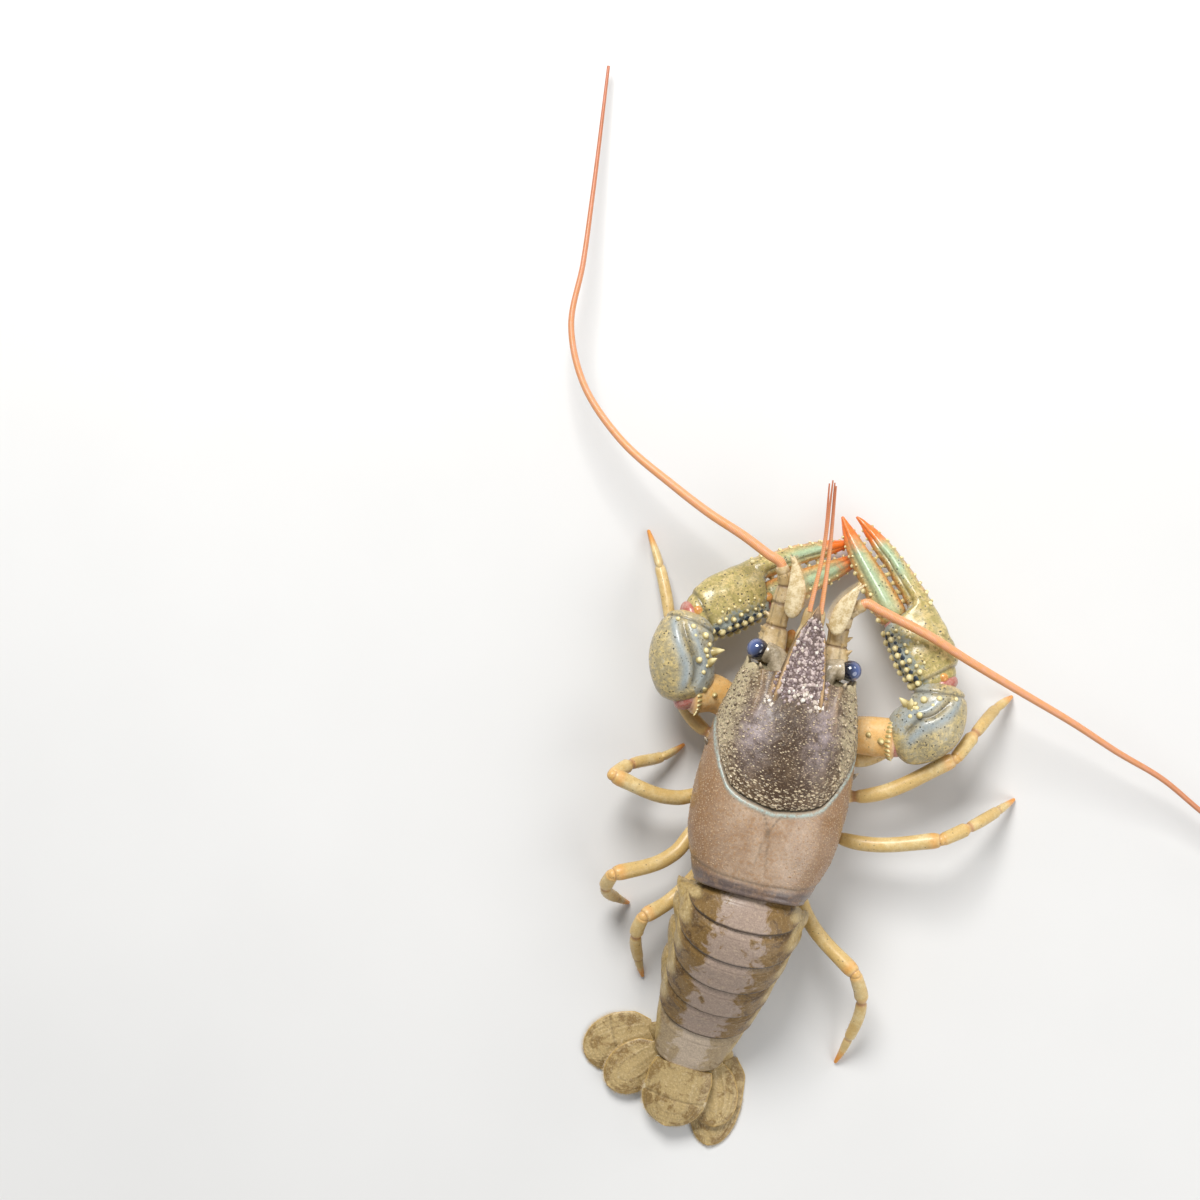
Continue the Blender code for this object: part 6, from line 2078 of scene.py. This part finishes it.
@dataclass
class Head:
    """What grows from the face: eyes on stalks, feelers with scales, and mouth limbs.

    Joints are places on a limb; those of the feeler's stem also hold depth and width of the pinch.
    """

    eye_centre: Row = (7.75, 38.1, 18.2)
    eye_radii: Row = (1.75, 1.95, 1.8)
    stalk: Rows = ((3.2, 34.9, 18.1), (4.6, 37.5, 18.2), (6.7, 38.1, 18.2))
    stalk_radius: Row = (2.3, 1.8, 1.62)
    stem: dict[str, Rows] = field(default_factory=lambda: {
        "l": ((-5.2, 35.6, 14.6), (-5.4, 41.5, 13.8), (-5.3, 47, 14.9), (-5.7, 50, 15.6),
              (-6.6, 51.6, 16.1)),
        "r": ((5.2, 35.6, 14.6), (5, 41.5, 13.8), (4.8, 45, 14.6), (5.5, 47.4, 15.6),
              (7, 48.7, 16.3))})
    stem_width: Row = (1.7, 2.3, 2.2, 1.6, 1.7, 1.35, 1.1)
    stem_height: Row = (1.5, 1.8, 1.7, 1.35, 1.45, 1.25, 1.1)
    stem_spines: Rows = ((0.22, 180, 0.5, 1), (0.36, 150, 0.5, 1.1),
        (0.5, 185, 0.45, 1.1), (0.62, 0, 0.4, 0.8), (0.3, 205, 0.35, 0.7), (0.44, 120, 0.3, 0.6))
    stem_joints: Rows = ((0.42, 0.12, 0.012), (0.66, 0.14, 0.014), (0.84, 0.12, 0.014))
    scale: dict[str, Rows] = field(default_factory=lambda: {
        "l": ((-3.6, 44.2, 16.8), (-3.8, 49.2, 17.6), (-5.5, 54.3, 17.6)),
        "r": ((3.9, 43.2, 16.9), (4.5, 47.9, 18.1), (6.2, 52.4, 18.4))})
    scale_width: Row = (0.9, 1.5, 1.55, 1.25, 0.7, 0.1)
    scale_height: Row = (0.5, 0.5, 0.45, 0.4, 0.3, 0.12)
    antennule: Rows = ((1.4, 35.5, 14.9), (1.35, 40.5, 16.4), (0.95, 46.8, 17.7))
    antennule_radius: Row = (0.95, 1, 1.05, 0.75, 0.95, 0.7, 0.8, 0.7)
    antennule_joints: Row = (0.43, 0.71)
    whips: dict[str, Rows] = field(default_factory=lambda: {
        "l": ((-1.15, 56.4, 18.9), (-2.7, 66.9, 18.9), (-2.4, 67.4, 20.6)),
        "r": ((-0.15, 56.4, 18.9), (-1.9, 67.2, 19.2), (-1.7, 66.6, 20.9))})
    whip_lift: Row = (-0.35, 0.45)
    whip_radius: Row = (0.4, 0.3, 0.13)
    feeler_radius: tuple[float, float] = (0.85, 0.27)
    feeler: dict[str, Rows] = field(default_factory=lambda: {
        "l": ((-9.5, 53.5, 16.6), (-13.8, 55.4, 16.3), (-20.3, 57.8, 15.6), (-27.1, 60.9, 14.6),
              (-37.6, 66.6, 12.6), (-45.8, 74.6, 10.4), (-49.7, 83, 8.6), (-50.3, 94, 6.6),
              (-51.4, 105.1, 4.8), (-54, 128, 2.4)),
        "r": ((10, 48.9, 16.8), (13.4, 48.1, 16.7), (18.6, 46.8, 16.4), (26.5, 44.2, 15.4),
              (36.3, 41.2, 13.6), (46.3, 38.2, 11.4), (55, 35.2, 9.4), (63.6, 32.6, 7.6),
              (72, 28.6, 6), (100.5, 17.5, 2.4))})
    jaw: Rows = ((3, 29.5, 9.3), (3.3, 34, 9.3), (3, 38.5, 10), (2.2, 42.5, 11.2))
    jaw_radius: Row = (1.2, 1.45, 1.6, 1.1, 1.3, 1.35, 0.85, 1, 0.55)
    jaw_joints: Row = (0.375, 0.75)

    def whip(self, tube: Tube, count: int, sides: int) -> Patch:
        """Make a feeler of short rings, pinched and darker where two of them meet.

        Args:
            tube: Its line.
            count: Number of rings.
            sides: Points around.

        Returns:
            The patch.
        """
        s = np.linspace(0, 1, count * 4 + 1)
        seam = (np.arange(len(s)) % 4 == 0)[:, None]
        return closed_tube(tube.rings(s, sides, 1 - 0.05 * seam), {
            Mark.ALONG: s[:, None], Mark.CROWN: rise(np.sin(turns(sides)), 0.1, 0.9),
            Mark.GUTTER: 0.75 * seam})

    def eye(self, tag: str) -> list[Piece]:
        """Make cornea and stalk of one eye.

        Args:
            tag: Letter of the side.

        Returns:
            The pieces.
        """
        centre = mirrored(self.eye_centre, tag)
        stalk = Tube(mirrored(self.stalk, tag), self.stalk_radius)
        way = stalk.frame(1)[1][0]
        cornea = ball(centre, way, self.eye_radii, 48, 56)
        # ALONG places the painted blue reflection on the cornea.
        cornea.marks[Mark.ALONG] = np.clip(((cornea.points - centre) @ way / 1.9 + 1) / 2, 0, 1)
        stem = limb(stalk, 50, 40, (0.08, 0.02),
            lambda s, a: 1 + 0.05 * hill(s, 0.88, 0.05) - 0.03 * hill(s, 0.7, 0.05))
        return [sided(tag, "cornea", [cornea], Paint.EYE, "eye", "eye"),
            sided(tag, "stalk", [stem], Paint.STALK, "cream", "eyestalk")]

    def antenna(self, tag: str) -> list[Piece]:
        """Make base, scale and long feeler of one antenna.

        Args:
            tag: Letter of the side.

        Returns:
            The pieces.
        """
        stem = Tube(self.stem[tag], self.stem_width, self.stem_height)
        base = limb(
            stem, 110, 48, (0.05, 0.06),
            lambda s, a: (1 + 0.05 * np.abs(np.sin(2.5 * a))
                          - sum(deep * hill(s, at, wide) for at, deep, wide in self.stem_joints)),
            lambda s, a: {Mark.JOINT: sum(hill(s, row[0], 0.02) for row in self.stem_joints),
                          Mark.SIDE: rise(np.abs(np.sin(2.5 * a)), 0.5, 0)})
        spines = stem.thorns(self.stem_spines, 0.6, lambda d: d if tag == "l" else 180 - d)
        blade = Tube(self.scale[tag], self.scale_width, self.scale_height)
        leaf = limb(blade, 60, 48, (0.1, 0.05), lambda s, a: (
            1 - 0.25 * hill(np.degrees(a), 90, 22) * rise(s, 0.1, 0.3) * rise(s, 0.95, 0.7)))
        sense = 0 if tag == "r" else 180
        tip, out = blade.spots(0.93, sense)
        thorn = studs(tip, out * 0.3 + blade.frame(0.95)[1], 0.3, 1, StudForm.SPINE, 10)
        place = np.linspace(0.2, 0.98, 70)
        root, out = blade.spots(place, 180 - sense)
        fringe = hairs(root, out + 0.8 * blade.frame(place)[1],
            np.linspace(1.2, 0.7, 70), (place, 0.6 + 0.1 * SIDE[tag]))
        end, way = (v[0] for v in stem.frame(1)[:2])
        feeler = Tube(np.array((end - 0.4 * way, end + 1.1 * way, *self.feeler[tag])),
            np.linspace(*self.feeler_radius, 5))
        collar = limb(Tube((end - 0.9 * way, end + 0.9 * way), (1, 1.12, 0.95)), 20, 28, (0.2, 0.2))
        return [sided(tag, "antenna_root", [base, *spines, collar], Paint.BASE, "antenna",
                      "antenna_base"),
                sided(tag, "antenna_blade", [leaf, thorn], Paint.SCALE, "cream", "antenna_scale"),
                sided(tag, "antenna_blade_fringe", [fringe], Paint.HAIR, "cream"),
                Piece(f"feeler_{tag}", [self.whip(feeler, 400, 11)], Paint.FEELER, "antenna",
                      tuple(f"flagellum_{tag}{k}" for k in (1, 2, 3)))]

    def small_feelers(self, tag: str) -> list[Piece]:
        """Make one antennule: a jointed stem with two short whips.

        Args:
            tag: Letter of the side.

        Returns:
            The pieces.
        """
        path, (middle, *tips) = mirrored(self.antennule, tag), np.array(self.whips[tag])
        stem = limb(Tube(path, self.antennule_radius), 70, 28, (0.05, 0.08), marks=lambda s, a: {
            Mark.CROWN: rise(np.sin(a), 0.1, 0.8),
            Mark.GUTTER: sum(hill(s, at, 0.02) for at in self.antennule_joints)})
        whips = [self.whip(Tube((path[-1] + (0, -0.8, lift), middle + (0, 0, lift), tip),
                                self.whip_radius), 70, 9)
                 for tip, lift in zip(tips, self.whip_lift)]
        return [sided(tag, "small_feelers", whips, Paint.FEELER, "antenna", "antennule"),
            sided(tag, "small_feeler_stem", [stem], Paint.BASE, "antenna")]

    def mouth_limb(self, tag: str) -> list[Piece]:
        """Make one outer mouth limb with the hairs of its inner edge.

        Args:
            tag: Letter of the side.

        Returns:
            The pieces.
        """
        jaw = Tube(mirrored(self.jaw, tag), self.jaw_radius)
        body = limb(jaw, 90, 32, (0.05, 0.05), marks=lambda s, a: {
            Mark.JOINT: sum(hill(s, at, 0.03) for at in self.jaw_joints),
            Mark.TIP: rise(s, 0.85, 1), Mark.SIDE: rise(np.sin(a), 0.2, -0.6)})
        rng = np.random.default_rng(SEED + 90)
        place = rng.uniform(0.3, 0.97, 120)
        point, out = jaw.spots(place, (180 if tag == "r" else 0) + rng.uniform(-35, 35, 120))
        hair = hairs(point, out + 0.4 * jaw.frame(place)[1],
            rng.uniform(0.5, 1, 120), (place, 0.3 + 0.2 * SIDE[tag]), 0.035)
        return [sided(tag, "mouth_limb", [body], Paint.LEG, "leg", "maxilliped"),
            sided(tag, "mouth_hairs", [hair], Paint.HAIR, "leg")]

    def build(self) -> list[Piece]:
        """Return the pieces of eyes, feelers and mouth limbs of both sides."""
        parts = self.eye, self.antenna, self.mouth_limb, self.small_feelers
        return [piece for tag in SIDE for part in parts for piece in part(tag)]


@dataclass
class Sternum:
    """The narrow plate between the roots of the legs, with a cross furrow between each pair."""

    y: Row = (5, 12, 24, 29)
    half_width: Row = (2.6, 4, 4.2, 2.8)
    level: float = 7.67
    half_height: float = 1.27
    furrows: Row = (11.4, 16.2, 20.8, 25.2)

    def build(self) -> list[Piece]:
        """Make the plate: a squarish section along it, with bells of the furrows pressed in.

        Returns:
            The pieces.
        """
        y, angle = np.linspace(self.y[0], self.y[-1], 120)[:, None], turns(64)
        pressed = sum(hill(y, at, 0.35) for at in self.furrows)
        lower = rise(-np.sin(angle), 0.2, 0.8)
        z = self.half_height * power_wave(np.sin(angle), 4) * (1 - 0.35 * pressed * lower)
        x = (curve(self.y, self.half_width, y)
            * power_wave(np.cos(angle), 4) * (1 - 0.05 * pressed))
        keel = -0.25 * hill(x, 0, 0.6) * lower * (1 - pressed)
        plate = closed_tube(grid(x, y, self.level + z + keel))
        return [Piece("belly_plate", [plate], Paint.UNDER, "underside", ("sternum",))]


@dataclass
class Studio:
    """Plain pale floor, soft lights and the camera at the photograph's place.

    A light's row holds its name, place, size and power.
    """

    eye: Row = (-34.5, 39.9, 407.9)
    turned: float = 13.4
    lens: float = 72
    floor: Colour = (0.74, 0.73, 0.71)
    reach: float = 0.9
    room: tuple[float, float, float, float] = (0.93, 0.96, 1, 1)
    room_strength: float = 0.34
    lights: Sequence[tuple] = (("key_light", (-0.24, 0.38, 0.5), 0.3, 4.6),
        ("fill_light", (0.46, -0.22, 0.42), 0.6, 2), ("rim_light", (0.3, 0.5, 0.3), 0.25, 0.6))

    def build(self, body: BodyFrame) -> None:
        """Make floor, lights and camera.

        Args:
            body: The frame that places the camera.
        """
        scene, r = bpy.context.scene, self.reach
        mesh = bpy.data.meshes.new("studio_floor")
        mesh.from_pydata([(-r, -r, 0), (r, -r, 0), (r, r, 0), (-r, r, 0)], [], [(0, 1, 2, 3)])
        graph = Graph("floor_pale")
        tone = graph.blend(self.floor, tuple(0.93 * c for c in self.floor), graph.noise(40))
        mesh.materials.append(graph.close(tone, 0.55))
        self.stand("studio_floor", mesh)
        for name, spot, size, power in self.lights:
            lamp = bpy.data.lights.new(name, "AREA")
            lamp.shape, lamp.size, lamp.energy = "DISK", size, power
            made = self.stand(name, lamp, spot)
            made.rotation_euler = Vector(spot).to_track_quat("Z", "Y").to_euler()
        scene.world = bpy.data.worlds.new("soft_room")
        scene.world.use_nodes = True
        room = scene.world.node_tree.nodes["Background"].inputs
        room["Color"].default_value = self.room
        room["Strength"].default_value = self.room_strength
        scene.view_settings.view_transform = "Standard"
        camera = bpy.data.cameras.new("camera")
        camera.lens, camera.sensor_width, camera.clip_start = self.lens, 36, 0.01
        scene.camera = self.stand("camera", camera, body.world(self.eye))
        scene.camera.rotation_euler = (0, 0, math.radians(self.turned))

    def stand(self, name: str, data: bpy.types.ID, spot: Row = (0, 0, 0)) -> bpy.types.Object:
        """Put a new object into the scene.

        Args:
            name: Its name.
            data: Its mesh, lamp or camera.
            spot: Its place in metres.

        Returns:
            The object.
        """
        made = bpy.data.objects.new(name, data)
        made.location = spot
        bpy.context.scene.collection.objects.link(made)
        return made


CHELIPEDS = (
    Cheliped("r", (22.9, 39.6, 12), 130.2, 13, ((4.6, 27.2, 8.1), (8.8, 27.2, 8.6)),
             ((8.8, 27.2, 8.6), (13, 28.2, 10.6), (17.6, 28.8, 12.4)),
             ((18, 29, 12.5), (23.2, 32.6, 13), (23.3, 38.8, 12.2))),
    Cheliped("l", (-18.3, 40.9, 10.4), 35.6, 15, ((-4.6, 27.2, 8.1), (-8.8, 27.6, 8.6)),
             ((-8.8, 27.6, 8.6), (-12.6, 29.2, 10), (-15.9, 28.4, 11.4)),
             ((-16.6, 28.2, 11.6), (-19.4, 34.4, 12.2), (-18.8, 40.4, 10.7))))


def main() -> None:
    logging.basicConfig(level=logging.INFO, format="%(name)s: %(message)s")
    body = BodyFrame()
    Studio().build(body)
    for part in (Carapace(), Head(), Abdomen(), TailFan(), *CHELIPEDS, WalkingLegs(), Sternum()):
        for piece in part.build():
            piece.make(body)


if __name__ == "__main__":
    main()
